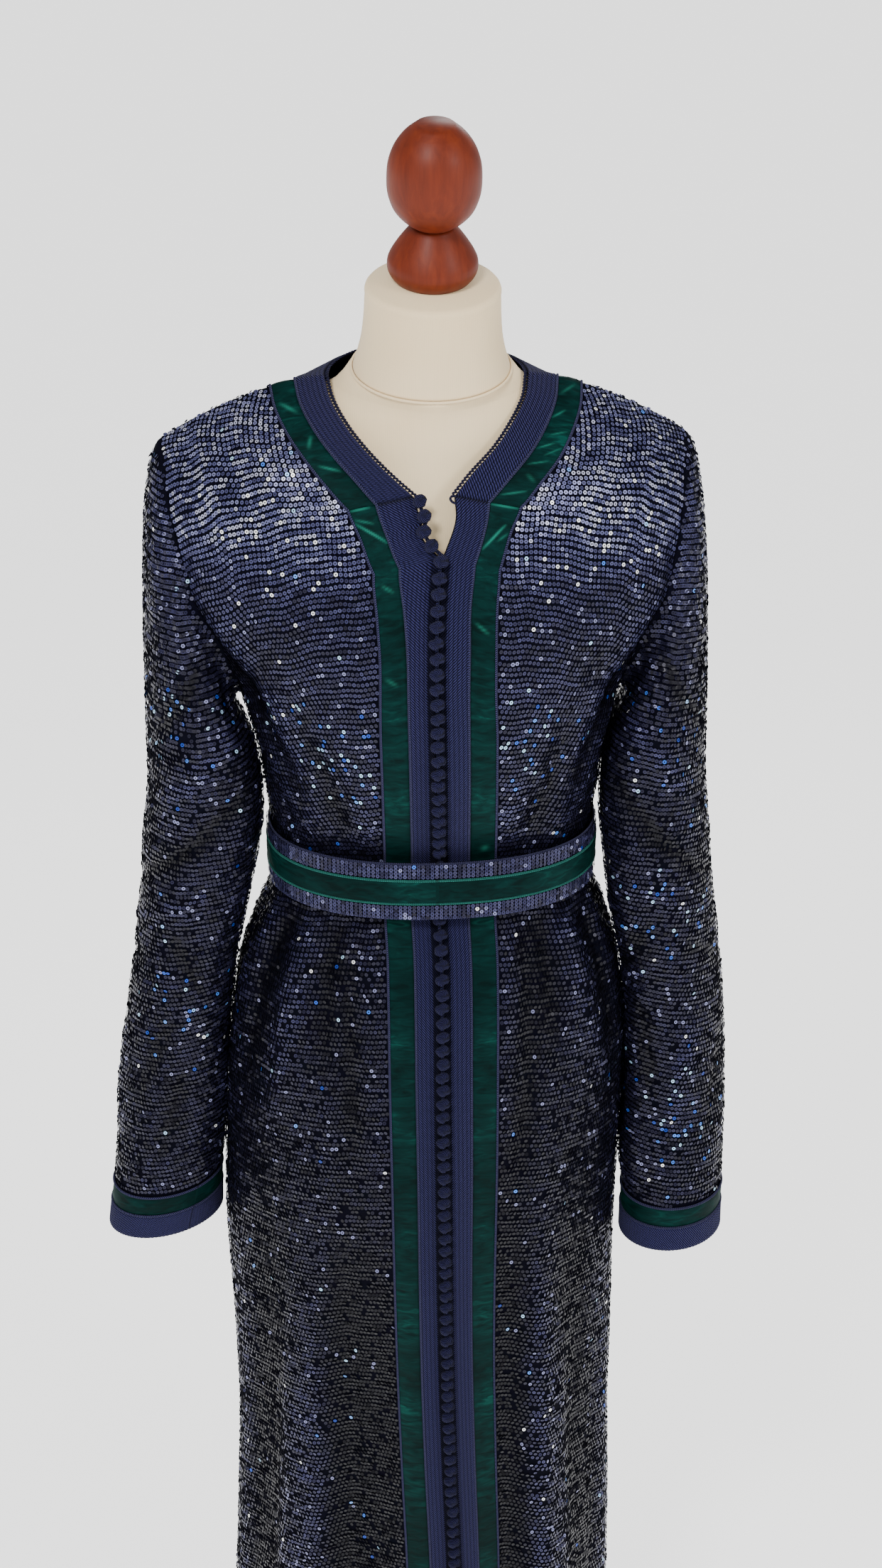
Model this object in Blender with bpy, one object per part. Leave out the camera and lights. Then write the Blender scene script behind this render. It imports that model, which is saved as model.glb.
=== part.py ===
"""A sequinned kaftan on a limbless dress form. Metres, +Z up, the front faces -Y.

The origin is the middle of the stand's underside. "Right" and "left" are the wearer's, so
right is -X. Each cloth panel is a wall worked out from the section tables below. All panels
share one middle surface, so their walls meet in a mitre at each seam, a seam gap apart, and
the braids and velvet bands are that surface's own faces, moved out.
"""

import math

import bmesh
import bpy
import numpy as np

# Cloth thicknesses and the gaps between pieces
CLOTH = 0.0016
BRAID = 0.0020
VELVET = 0.0014
GAP = 0.0003
SEAM_PULL = 0.0002
MITRE_LEAST = 0.6

# Widths of the bands that follow each front edge and the neck
BRAID_WIDTH = 0.0235
VELVET_WIDTH = 0.0210
BACK_VELVET_SHARE = 0.87
CUFF_BRAID_WIDTH = 0.0230
CUFF_VELVET_WIDTH = 0.0195

# Belt
BELT_HEIGHT = 0.0500
BELT_Z = 1.0225
BELT_THICKNESS = 0.0022
BELT_STRIPE_HEIGHT = 0.0205
BELT_STRIPE = 0.0012
BELT_RIGHT = -0.1365
BELT_LEFT = 0.1365
BELT_FRONT = -0.0955
BELT_BACK = 0.0835

# Ball buttons
BUTTON_PITCH = 0.0124
BUTTON_WIDTH = 0.0104
BUTTON_DEPTH = 0.0084
BUTTON_THREAD = 0.0040

# Level sections from the hem up to the underarm: height, side seams, front, back, placket
SECTIONS = [
    # z      right   left    front   back   placket
    (0.030, -0.200, 0.176, -0.134, 0.146, 0.018),
    (0.200, -0.192, 0.170, -0.130, 0.141, 0.017),
    (0.340, -0.184, 0.167, -0.126, 0.137, 0.014),
    (0.450, -0.179, 0.163, -0.124, 0.134, 0.010),
    (0.550, -0.180, 0.163, -0.123, 0.133, 0.007),
    (0.660, -0.184, 0.163, -0.123, 0.132, 0.005),
    (0.760, -0.181, 0.166, -0.121, 0.130, 0.004),
    (0.860, -0.172, 0.165, -0.116, 0.122, 0.003),
    (0.930, -0.159, 0.154, -0.106, 0.105, 0.003),
    (0.960, -0.1475, 0.1440, -0.0960, 0.0940, 0.003),
    (0.9935, -0.1328, 0.1328, -0.0805, 0.0787, 0.002),
    (1.0225, -0.1322, 0.1322, -0.0800, 0.0780, 0.002),
    (1.0515, -0.1328, 0.1328, -0.0812, 0.0785, 0.002),
    (1.0850, -0.1365, 0.1365, -0.0935, 0.0830, 0.001),
    (1.1220, -0.1420, 0.1410, -0.1050, 0.0900, 0.000),
    (1.1600, -0.1520, 0.1495, -0.1120, 0.0980, -0.001),
]
ROUNDNESS = 2.25
SIDE_Y = 0.006

# Front rows above the underarm: the inner end on the placket, slit or neckline, the outer
# end on the armhole, how far the row turns back, its forward swell, how its drop is spread
# along it, and the widths of the right and left braid and velvet there, as shares of their own
FRONT_ROWS = [
    # inner_right inner_left inner_y inner_z outer_right outer_left outer_y outer_z turn swell droop
    # braid_right velvet_right braid_left velvet_left
    (-0.002, -0.002, -0.1145, 1.200, -0.1555, 0.1530, -0.016, 1.177, 80, 0.000, 1.0, 1.00, 0.98, 1.02, 0.97),
    (-0.002, -0.002, -0.1135, 1.235, -0.1650, 0.1615, -0.036, 1.202, 72, 0.000, 1.0, 1.03, 0.96, 1.04, 0.95),
    (-0.001, -0.001, -0.1080, 1.268, -0.1770, 0.1720, -0.048, 1.230, 66, 0.000, 1.0, 1.16, 0.95, 1.02, 0.95),
    (0.002, 0.002, -0.0975, 1.300, -0.1870, 0.1810, -0.053, 1.257, 62, 0.001, 1.0, 1.41, 0.90, 1.06, 0.89),
    (-0.012, 0.012, -0.0860, 1.324, -0.194, 0.187, -0.049, 1.286, 60, 0.003, 1.0, 1.25, 0.88, 1.00, 0.88),
    (-0.018, 0.012, -0.0770, 1.341, -0.199, 0.190, -0.046, 1.308, 60, 0.005, 1.0, 1.24, 0.97, 1.14, 1.10),
    (-0.036, 0.026, -0.0665, 1.355, -0.202, 0.192, -0.041, 1.327, 60, 0.006, 1.1, 1.12, 1.00, 1.22, 1.07),
    (-0.053, 0.044, -0.0530, 1.370, -0.204, 0.193, -0.033, 1.342, 60, 0.006, 1.2, 1.07, 0.93, 1.16, 1.01),
    (-0.067, 0.058, -0.0370, 1.385, -0.205, 0.194, -0.023, 1.354, 60, 0.005, 1.3, 1.03, 0.89, 1.10, 0.93),
    (-0.077, 0.069, -0.0185, 1.400, -0.206, 0.195, -0.011, 1.363, 60, 0.003, 1.5, 1.01, 0.87, 1.02, 0.89),
    (-0.081, 0.073, 0.0000, 1.413, -0.206, 0.195, 0.000, 1.369, 60, 0.000, 1.7, 1.00, 0.87, 1.00, 0.87),
]
SLIT_ROW = 3
MITRE_ROW = 5

# Back neckline, from the centre to the right or left neck point
BACK_NECK_Y = 0.066
BACK_NECK_Z = 1.424

# Soft folds of the skirt, by angle round the body: 0 is the front, + is the wearer's left
SKIRT_FOLDS = [
    # angle_top angle_hem depth  width z_top  z_full
    (16.0, 23.0, -0.0130, 7.0, 0.880, 0.520),
    (28.0, 36.0, 0.0060, 8.0, 0.800, 0.480),
    (44.0, 52.0, -0.0070, 8.0, 0.900, 0.500),
    (66.0, 70.0, 0.0050, 9.0, 0.850, 0.450),
    (-17.0, -24.0, -0.0140, 8.0, 0.800, 0.420),
    (-34.0, -42.0, 0.0070, 8.0, 0.720, 0.380),
    (-52.0, -58.0, -0.0060, 8.0, 0.900, 0.480),
    (-72.0, -76.0, 0.0050, 9.0, 0.820, 0.420),
    (104.0, 108.0, 0.0060, 9.0, 0.820, 0.450),
    (122.0, 128.0, -0.0100, 9.0, 0.900, 0.480),
    (142.0, 146.0, 0.0080, 9.0, 0.860, 0.430),
    (162.0, 168.0, -0.0090, 8.0, 0.900, 0.500),
    (-108.0, -112.0, 0.0060, 9.0, 0.840, 0.460),
    (-128.0, -132.0, -0.0110, 9.0, 0.880, 0.440),
    (-150.0, -153.0, 0.0080, 9.0, 0.860, 0.480),
]
GATHERS = 16
GATHER_DEPTH = 0.0026
GATHER_ABOVE = 0.060
GATHER_BELOW = 0.110

# Sleeve sections below the armhole: centre, half sizes and turn of the flattened tube
SLEEVE_RIGHT = [
    # z      x       y      half_x half_y turn
    (1.120, -0.1915, 0.000, 0.0405, 0.0600, 8),
    (1.085, -0.1915, 0.000, 0.0425, 0.0580, 6),
    (1.050, -0.1945, 0.000, 0.0435, 0.0560, 0),
    (0.983, -0.2025, -0.002, 0.0410, 0.0510, -10),
    (0.900, -0.2145, -0.004, 0.0415, 0.0470, -22),
    (0.800, -0.2275, -0.006, 0.0415, 0.0470, -36),
    (0.720, -0.2350, -0.008, 0.0395, 0.0490, -48),
    (0.665, -0.2400, -0.009, 0.0370, 0.0510, -58),
]
SLEEVE_LEFT = [
    (1.120, 0.1870, 0.000, 0.0385, 0.0600, -10),
    (1.085, 0.1880, 0.000, 0.0400, 0.0580, -12),
    (1.050, 0.1915, -0.002, 0.0400, 0.0560, -14),
    (0.983, 0.1990, -0.004, 0.0385, 0.0520, -20),
    (0.900, 0.2085, -0.008, 0.0380, 0.0480, -28),
    (0.800, 0.2125, -0.014, 0.0400, 0.0460, -36),
    (0.720, 0.2145, -0.022, 0.0410, 0.0460, -44),
    (0.645, 0.2150, -0.028, 0.0400, 0.0470, -52),
]
SLEEVE_FOLDS = [
    # z      angle  depth  width height
    (1.000, 250.0, -0.0060, 30.0, 0.035),
    (0.930, 300.0, -0.0045, 34.0, 0.030),
    (1.080, 215.0, -0.0045, 30.0, 0.040),
    (0.820, 240.0, 0.0040, 40.0, 0.060),
]

# Grid counts
FRONT_CELLS = 10
BACK_CELLS = 12
BACK_ARM_CELLS = 7
CAP_STEPS = (0.0, 0.10, 0.24, 0.42, 0.64, 0.84, 1.0)
SKIRT_TOP = 0.930
SKIRT_ROWS = 13
RING_SIDES = 24
FORM_SIDES = 28

# Dress form sections: height, half width, front, back, roundness, forward tilt
FORM_SECTIONS = [
    # z      half   front   back   round tilt
    (0.800, 0.128, -0.082, 0.086, 2.2, 0),
    (0.808, 0.144, -0.092, 0.098, 2.2, 0),
    (0.860, 0.155, -0.099, 0.106, 2.2, 0),
    (0.930, 0.143, -0.091, 0.093, 2.2, 0),
    (0.990, 0.121, -0.073, 0.072, 2.2, 0),
    (1.025, 0.116, -0.067, 0.066, 2.2, 0),
    (1.060, 0.118, -0.072, 0.068, 2.2, 0),
    (1.110, 0.129, -0.092, 0.078, 2.2, 0),
    (1.160, 0.138, -0.103, 0.088, 2.2, 0),
    (1.210, 0.142, -0.105, 0.089, 2.2, 0),
    (1.250, 0.147, -0.099, 0.085, 2.1, 0),
    (1.285, 0.154, -0.088, 0.080, 2.0, 0),
    (1.315, 0.161, -0.076, 0.074, 1.9, 0),
    (1.337, 0.168, -0.063, 0.067, 1.75, 0),
    (1.356, 0.169, -0.052, 0.061, 1.55, 1),
    (1.374, 0.156, -0.047, 0.056, 1.40, 3),
    (1.388, 0.130, -0.044, 0.054, 1.35, 6),
    (1.399, 0.101, -0.044, 0.054, 1.35, 10),
    (1.408, 0.077, -0.045, 0.053, 1.50, 14),
    (1.4203, 0.063, -0.049, 0.055, 1.80, 17),
]
LEAN = math.radians(17.0)
NECK_BASE = (0.0, 0.004, 1.4200)
# Neck and finial profiles, as distance up the leaning axis and radius
NECK_PROFILE = [(0.0000, 0.0600), (0.0080, 0.0575), (0.0220, 0.0540), (0.0420, 0.0515),
                (0.0600, 0.0505), (0.0665, 0.0500), (0.0688, 0.0480)]
BELL_PROFILE = [(0.0000, 0.0285), (0.0040, 0.0318), (0.0100, 0.0338), (0.0170, 0.0334),
                (0.0235, 0.0312), (0.0320, 0.0256), (0.0375, 0.0200), (0.0410, 0.0157)]
BALL_PROFILE = [(0.0000, 0.0155), (0.0035, 0.0205), (0.0110, 0.0280), (0.0220, 0.0330),
                (0.0360, 0.0344), (0.0500, 0.0326), (0.0610, 0.0277), (0.0690, 0.0212),
                (0.0750, 0.0138)]
# How far behind the neck's axis the finial stands
FINIAL_BACK = 0.0090
POLE_RADIUS = 0.0150
BASE_RADIUS = 0.1550
BASE_HEIGHT = 0.0180

COLOURS = {
    "sequins": ((0.020, 0.021, 0.045, 1.0), 0.45, 0.35),
    "braid": ((0.023, 0.023, 0.086, 1.0), 0.80, 0.0),
    "velvet": ((0.003, 0.040, 0.032, 1.0), 0.70, 0.0),
    "cover": ((0.800, 0.700, 0.520, 1.0), 0.85, 0.0),
    "wood": ((0.240, 0.040, 0.010, 1.0), 0.30, 0.0),
}


def smooth(edge_a, edge_b, value):
    """Goes from 0 at edge_a to 1 at edge_b with level ends."""
    step = np.clip((value - edge_a) / (edge_b - edge_a), 0.0, 1.0)
    return step * step * (3.0 - 2.0 * step)


def column(table, index, at, key=0):
    """Reads one column of a section table at any height, on a smooth curve through the rows."""
    rows = sorted(table)
    keys = np.array([row[key] for row in rows])
    values = np.array([row[index] for row in rows])
    slopes = np.gradient(values, keys)
    spot = np.clip(np.searchsorted(keys, at) - 1, 0, len(keys) - 2)
    span = keys[spot + 1] - keys[spot]
    u = np.clip((at - keys[spot]) / span, 0.0, 1.0)
    return ((2 * u**3 - 3 * u**2 + 1) * values[spot] + (u**3 - 2 * u**2 + u) * span * slopes[spot]
            + (3 * u**2 - 2 * u**3) * values[spot + 1] + (u**3 - u**2) * span * slopes[spot + 1])


def section(z):
    """Side, front, back and placket positions of the level ring at height z."""
    return [float(column(SECTIONS, index, z)) for index in range(1, 6)]


def add_folds(points, z):
    """Moves a level row's points in and out along the ring's normal, by the skirt's folds and
    the gathers at the belt."""
    right, left, front, back, placket = section(min(z, SECTIONS[-1][0]))
    x, y = points[:, 0], points[:, 1]
    middle = (right + left) / 2
    across = (x - middle) / ((left - right) / 2)
    depth = np.where(y < SIDE_Y, (y - SIDE_Y) / (SIDE_Y - front), (y - SIDE_Y) / (back - SIDE_Y))
    angle = np.degrees(np.arctan2(across, -depth))
    move = np.zeros(len(points))
    for top, hem, height, width, z_top, z_full in SKIRT_FOLDS:
        place = hem + (top - hem) * smooth(SECTIONS[0][0], z_top, z)
        turn = (angle - place + 180.0) % 360.0 - 180.0
        move += height * np.exp(-0.5 * (turn / width) ** 2) * (1.0 - smooth(z_full, z_top, z))
    reach = GATHER_ABOVE if z > BELT_Z else GATHER_BELOW
    strength = math.exp(-(((z - BELT_Z) / reach) ** 2)) * smooth(0.030, 0.055, abs(z - BELT_Z))
    flat_front = smooth(14.0, 26.0, np.abs(angle))
    wave = np.cos(np.radians(GATHERS * angle)) + 0.4 * np.sin(np.radians(9 * angle + 40.0))
    move += GATHER_DEPTH * strength * flat_front * wave
    outward = np.stack([across / (left - right), depth / (back - front), 0 * x], 1)
    outward /= np.linalg.norm(outward, axis=1)[:, None]
    return points + outward * move[:, None]


def quarter(inner, outer, turn, swell=0.0, droop=1.0, samples=120):
    """A row from its inner end round to its outer end, as part of a rounded quarter turn."""
    angle = np.linspace(0.0, math.radians(turn), samples)
    power = 2.0 / ROUNDNESS
    across = np.sin(angle) ** power / math.sin(angle[-1]) ** power
    back = (1.0 - np.cos(angle) ** power) / (1.0 - max(math.cos(angle[-1]), 1e-9) ** power)
    x = inner[0] + (outer[0] - inner[0]) * across
    y = inner[1] + (outer[1] - inner[1]) * back - swell * np.sin(math.pi * across)
    z = inner[2] + (outer[2] - inner[2]) * across**droop
    return np.stack([x, y, z], 1)


def lengths(path):
    """Distance along a path at each of its points."""
    return np.concatenate([[0.0], np.cumsum(np.linalg.norm(np.diff(path, axis=0), axis=1))])


def pick(path, distances):
    """Points of a path at given distances along it."""
    along = lengths(path)
    return np.stack([np.interp(distances, along, path[:, axis]) for axis in range(3)], 1)


def band_columns(total, cells, braid=1.0, velvet=1.0):
    """Distances of the grid's columns: the braid's edge, the velvet's edge, then even cells."""
    first = [0.0, BRAID_WIDTH * braid, BRAID_WIDTH * braid + VELVET_WIDTH * velvet]
    return np.concatenate([first, np.linspace(first[2], total, cells - 1)[1:]])


def skirt_heights():
    """Heights of the level rows: even in the skirt, then those of the table from there up."""
    upper = [row[0] for row in SECTIONS if row[0] > SKIRT_TOP]
    return list(np.linspace(SECTIONS[0][0], SKIRT_TOP, SKIRT_ROWS)) + upper


def front_grid(side):
    """Points of one front panel, a row at a time from hem to shoulder; side is -1 or 1."""
    rows = []
    for z in skirt_heights():
        right, left, front, back, placket = section(z)
        outer = (right if side < 0 else left, SIDE_Y, z)
        path = quarter((placket, front, z), outer, 90)
        points = pick(path, band_columns(lengths(path)[-1], FRONT_CELLS))
        rows.append(add_folds(points, z))
    for row in FRONT_ROWS:
        inner = (row[0] if side < 0 else row[1], row[2], row[3])
        outer = (row[4] if side < 0 else row[5], row[6], row[7])
        path = quarter(inner, outer, row[8], row[9], row[10])
        braid, velvet = row[11:13] if side < 0 else row[13:15]
        rows.append(pick(path, band_columns(lengths(path)[-1], FRONT_CELLS, braid, velvet)))
    return np.array(rows)


def cubic(start, end, leave, arrive, u):
    """A cubic path from start to end with the given end slopes."""
    return ((2 * u**3 - 3 * u**2 + 1) * start + (u**3 - 2 * u**2 + u) * leave
            + (3 * u**2 - 2 * u**3) * end + (u**3 - u**2) * arrive)


def unit(vector):
    """The vector at length one."""
    vector = np.asarray(vector, float)
    return vector / np.linalg.norm(vector)


def back_armhole(side):
    """The back's armhole, from the shoulder tip round the shoulder blade to the underarm."""
    edge = front_grid(side)[:, -1]
    tip, low = edge[-1], edge[len(skirt_heights()) - 1]
    span = np.linalg.norm(low - tip)
    u = np.linspace(0.0, 1.0, 80)[:, None]
    path = cubic(tip, low, np.array([0.0, 0.90, -0.40]) * span,
                 np.array([-0.12 * side, -0.30, -0.75]) * span, u)
    return pick(path, np.linspace(0.0, lengths(path)[-1], BACK_ARM_CELLS + 1))


def back_level(side, z):
    """Half of a level row of the back, from the side seam to the centre."""
    right, left, front, back, placket = section(z)
    path = quarter((0.0, back, z), (right if side < 0 else left, SIDE_Y, z), 90)[::-1]
    points = pick(path, np.linspace(0.0, lengths(path)[-1], BACK_CELLS + 1))
    return add_folds(points, z)


def yoke_grid(side):
    """The upper half back as a fan of lines. They start square to the neckline, the first is
    the shoulder seam and the last the centre back, and they end on the armhole or the
    underarm level. Their first cells are the braid's and the velvet's widths."""
    seam = front_grid(side)[-1]
    neck = seam[0]
    turn = np.linspace(0.0, math.pi / 2, 60)
    neckline = np.stack([neck[0] * np.cos(turn),
                         neck[1] + (BACK_NECK_Y - neck[1]) * np.sin(turn),
                         neck[2] + (BACK_NECK_Z - neck[2]) * np.sin(turn)], 1)
    ends = np.concatenate([back_armhole(side), back_level(side, SECTIONS[-1][0])[1:]])
    starts = pick(neckline, np.linspace(0.0, lengths(neckline)[-1], len(ends)))
    tangents = np.gradient(starts, axis=0)
    lines = [seam]
    u = np.linspace(0.0, 1.0, 90)[:, None]
    for number in range(1, len(ends)):
        share = number / (len(ends) - 1)
        leave = (1 - share) * unit(seam[2] - seam[0]) + share * np.array([0.0, 0.50, -0.87])
        along = unit(tangents[number])
        leave = unit(leave - (leave @ along) * along) if share < 1 else leave
        armhole_share = min(number / BACK_ARM_CELLS, 1.0)
        level_share = max(0.0, (number - BACK_ARM_CELLS) / BACK_CELLS)
        arrive = ((1 - armhole_share) ** 2 * np.array([0.90 * side, 0.0, -0.43])
                  + 2 * armhole_share * (1 - armhole_share) * np.array([0.50 * side, -0.60, -0.90])
                  + armhole_share ** 2 * np.array([0.02 * side, -0.62, -0.78]))
        blend = smooth(0.0, 0.30, level_share)
        arrive = unit((1 - blend) * arrive + blend * np.array([0.0, -0.06, -1.0]))
        span = np.linalg.norm(ends[number] - starts[number])
        path = cubic(starts[number], ends[number], leave * span, arrive * span, u)
        lines.append(pick(path, band_columns(lengths(path)[-1], FRONT_CELLS, 1.0, BACK_VELVET_SHARE)))
    return np.array(lines)


def back_grid(side):
    """The lower half back: level rows from the underarm down to the hem."""
    return np.array([back_level(side, z) for z in reversed(skirt_heights())])


def armhole(side):
    """The armhole's points, from the underarm up the front, over the shoulder and down."""
    front = front_grid(side)[len(skirt_heights()) - 1:, -1]
    return np.concatenate([front, back_armhole(side)[1:-1]])


def sleeve_ring(side, z, share):
    """One ring of the hanging sleeve: a turned oval, with the folds near the elbow."""
    table = SLEEVE_RIGHT if side < 0 else SLEEVE_LEFT
    x, y, half_x, half_y, turn = [float(column(table, index, z)) for index in range(1, 6)]
    # angle 0 is the underarm side; the front comes next, then the outer side, then the back
    angle = 2 * math.pi * share
    degrees = np.degrees(angle)
    reach = np.zeros(len(angle))
    for fold_z, place, depth, width, height in SLEEVE_FOLDS:
        away = (degrees - place + 180.0) % 360.0 - 180.0
        reach += depth * np.exp(-0.5 * (away / width) ** 2 - 0.5 * ((z - fold_z) / height) ** 2)
    local_x = -side * (half_x + reach) * np.cos(angle)
    local_y = -(half_y + reach) * np.sin(angle)
    tilt = math.radians(turn)
    return np.stack([x + local_x * math.cos(tilt) - local_y * math.sin(tilt),
                     y + local_x * math.sin(tilt) + local_y * math.cos(tilt),
                     np.full(len(angle), z)], 1)


def sleeve_grid(side):
    """The sleeve from the armhole to its end: cubic paths that leave the armhole outwards and
    join the first hanging ring straight down, then the rings of the section table."""
    table = SLEEVE_RIGHT if side < 0 else SLEEVE_LEFT
    loop = armhole(side)
    closed = np.concatenate([loop, loop[:1]])
    share = lengths(closed)[:-1] / lengths(closed)[-1]
    first_z = table[0][0]
    first = sleeve_ring(side, first_z, share)
    span = np.linalg.norm(first - loop, axis=1)[:, None]
    high = smooth(1.20, 1.36, loop[:, 2])[:, None]
    leave = np.array([0.98 * side, 0.0, -0.20]) * (1 - high) + np.array([0.80 * side, 0.0, -0.35]) * high
    leave[:, 1] += 0.25 * np.sign(loop[:, 1]) * smooth(0.0, 0.04, np.abs(loop[:, 1]))
    leave = leave * np.clip(span, 0.060, 0.075)
    arrive = np.array([0.04 * side, 0.0, -1.0]) * span
    rings = []
    for u in CAP_STEPS:
        rings.append(cubic(loop, first, leave, arrive, u))
    end = table[-1][0]
    band = CUFF_BRAID_WIDTH + CUFF_VELVET_WIDTH
    plain = np.linspace(first_z, end + band, 9)[1:]
    for z in list(plain) + [end + CUFF_BRAID_WIDTH, end]:
        rings.append(sleeve_ring(side, float(z), share))
    return np.array(rings)


class Cloth:
    """The welded middle surface of all panels: points, triangles, and a tag for each one."""

    def __init__(self):
        self.points = []
        self.index = {}
        self.faces = []
        self.tags = []

    def vertex(self, point):
        """Adds a point, or finds the one already within a hundredth of a millimetre."""
        key = tuple(int(math.floor(value / 1e-4)) for value in point)
        for dx in (-1, 0, 1):
            for dy in (-1, 0, 1):
                for dz in (-1, 0, 1):
                    for number in self.index.get((key[0] + dx, key[1] + dy, key[2] + dz), ()):
                        if np.linalg.norm(self.points[number] - point) < 1e-5:
                            return number
        self.points.append(np.array(point))
        self.index.setdefault(key, []).append(len(self.points) - 1)
        return len(self.points) - 1

    def add_grid(self, grid, tag, flip=False, closed=False):
        """Adds a grid's cells, two triangles each; tag(row, column) names the cell's pieces."""
        rows, columns = grid.shape[:2]
        numbers = [[self.vertex(grid[row, col]) for col in range(columns)] for row in range(rows)]
        for row in range(rows - 1):
            for col in range(columns if closed else columns - 1):
                after = (col + 1) % columns
                a, b = numbers[row][col], numbers[row][after]
                c, d = numbers[row + 1][after], numbers[row + 1][col]
                for face in ((a, b, c), (a, c, d)):
                    if len(set(face)) == 3:
                        self.faces.append(face[::-1] if flip else face)
                        self.tags.append(tag(row, col))

    def finish(self):
        """Works out the shared normals once every panel is in."""
        self.points = np.array(self.points)
        self.faces = np.array(self.faces)
        corner = self.points[self.faces]
        cross = np.cross(corner[:, 1] - corner[:, 0], corner[:, 2] - corner[:, 0])
        self.face_normals = cross / np.linalg.norm(cross, axis=1)[:, None]
        sums = np.zeros_like(self.points)
        weights = np.zeros(len(self.points))
        angles = []
        for place in range(3):
            one = corner[:, (place + 1) % 3] - corner[:, place]
            two = corner[:, (place + 2) % 3] - corner[:, place]
            cosine = (one * two).sum(1) / np.linalg.norm(one, axis=1) / np.linalg.norm(two, axis=1)
            angles.append(np.arccos(np.clip(cosine, -1.0, 1.0)))
            np.add.at(sums, self.faces[:, place], self.face_normals * angles[place][:, None])
            np.add.at(weights, self.faces[:, place], angles[place])
        size = np.linalg.norm(sums, axis=1)
        # a fold's mitre is longer than the wall is thick, by the mean slope of its faces
        self.normals = sums / size[:, None] / np.clip(size / weights, MITRE_LEAST, 1.0)[:, None]

    def shell(self, name, inner, outer, colour, pull=SEAM_PULL):
        """A closed wall over the faces that carry this name, from inner to outer along the
        normals, with its edges drawn in by the seam pull."""
        chosen = [number for number, tags in enumerate(self.tags) if name in tags]
        faces = self.faces[chosen]
        used, flat = np.unique(faces, return_inverse=True)
        faces = flat.reshape(faces.shape)
        points, normals = self.points[used].copy(), self.normals[used]
        edges = {}
        for number, face in enumerate(faces):
            for a, b in ((face[0], face[1]), (face[1], face[2]), (face[2], face[0])):
                edges[(a, b)] = number
        rim = [pair for pair in edges if (pair[1], pair[0]) not in edges]
        inward = {}
        for a, b in rim:
            along = points[b] - points[a]
            face_normal = self.face_normals[chosen[edges[(a, b)]]]
            direction = np.cross(face_normal, along)
            direction /= np.linalg.norm(direction)
            inward.setdefault(a, []).append(direction)
            inward.setdefault(b, []).append(direction)
        moves = np.zeros_like(points)
        for number, directions in inward.items():
            total = np.sum(directions, axis=0)
            count = len(directions)
            moves[number] = pull * total * count / max(float(total @ total), 0.5)
        points += moves
        count = len(points)
        vertices = np.concatenate([points + normals * outer, points + normals * inner])
        triangles = [tuple(face) for face in faces]
        triangles += [tuple(int(i) + count for i in face[::-1]) for face in faces]
        # facing edges of two panels are cut along the same diagonal, so they stay apart
        for a, b in rim:
            if used[a] < used[b]:
                triangles += [(b, a, a + count), (b, a + count, b + count)]
            else:
                triangles += [(b, a, b + count), (a, a + count, b + count)]
        return make_object(name, vertices, triangles, colour)


def material(name):
    """The material of that name, made once."""
    found = bpy.data.materials.get(name)
    if found:
        return found
    colour, roughness, metallic = COLOURS[name]
    made = bpy.data.materials.new(name)
    made.use_nodes = True
    shader = made.node_tree.nodes["Principled BSDF"]
    shader.inputs["Base Color"].default_value = colour
    shader.inputs["Roughness"].default_value = roughness
    shader.inputs["Metallic"].default_value = metallic
    made.diffuse_color = colour
    return made


def make_object(name, vertices, faces, colour):
    """One named, smooth-shaded object from points and faces."""
    mesh = bpy.data.meshes.new(name)
    mesh.from_pydata([tuple(map(float, v)) for v in vertices], [],
                     [tuple(map(int, f)) for f in faces])
    shape = bmesh.new()
    shape.from_mesh(mesh)
    if shape.calc_volume(signed=True) < 0:
        bmesh.ops.reverse_faces(shape, faces=shape.faces)
        shape.to_mesh(mesh)
    shape.free()
    mesh.materials.append(material(colour))
    mesh.shade_smooth()
    mesh.set_sharp_from_angle(angle=math.radians(40))
    made = bpy.data.objects.new(name, mesh)
    bpy.context.scene.collection.objects.link(made)
    return made


def loft(name, rings, colour):
    """A closed body through rings of equal counts, with a fan on each end."""
    sides = len(rings[0])
    vertices = [point for ring in rings for point in ring]
    low, high = len(vertices), len(vertices) + 1
    vertices += [np.mean(rings[0], axis=0), np.mean(rings[-1], axis=0)]
    faces = []
    for row in range(len(rings) - 1):
        for col in range(sides):
            after = (col + 1) % sides
            a, b = row * sides + col, row * sides + after
            faces += [(a, b, b + sides), (a, b + sides, a + sides)]
    top = (len(rings) - 1) * sides
    for col in range(sides):
        after = (col + 1) % sides
        faces += [(after, col, low), (top + col, top + after, high)]
    return make_object(name, vertices, faces, colour)


def band_ring(name, half, height, thickness, z, offset, colour, sides=56):
    """A closed band round the waist: a four-cornered section carried round a rounded oval."""
    turn = np.linspace(0.0, 2 * math.pi, sides, endpoint=False)
    right, left, front, back = half
    side_x = np.where(np.sin(turn) < 0, -right, left)
    side_y = np.where(np.cos(turn) > 0, SIDE_Y - front, back - SIDE_Y)
    power = 2.0 / ROUNDNESS
    x = side_x * np.sign(np.sin(turn)) * np.abs(np.sin(turn)) ** power
    y = SIDE_Y - side_y * np.sign(np.cos(turn)) * np.abs(np.cos(turn)) ** power
    path = np.stack([x, y, np.full(sides, z)], 1)
    ahead = np.roll(path, -1, axis=0) - np.roll(path, 1, axis=0)
    outward = np.stack([ahead[:, 1], -ahead[:, 0], 0 * x], 1)
    outward /= np.linalg.norm(outward, axis=1)[:, None]
    corners = [(offset, -height / 2), (offset + thickness, -height / 2),
               (offset + thickness, height / 2), (offset, height / 2)]
    vertices = np.concatenate([path + outward * out + np.array([0, 0, up]) for out, up in corners])
    faces = []
    for corner in range(4):
        following = (corner + 1) % 4
        for col in range(sides):
            after = (col + 1) % sides
            a, b = corner * sides + col, corner * sides + after
            c, d = following * sides + after, following * sides + col
            faces += [(a, b, c), (a, c, d)]
    return make_object(name, vertices, faces, colour)


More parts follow.
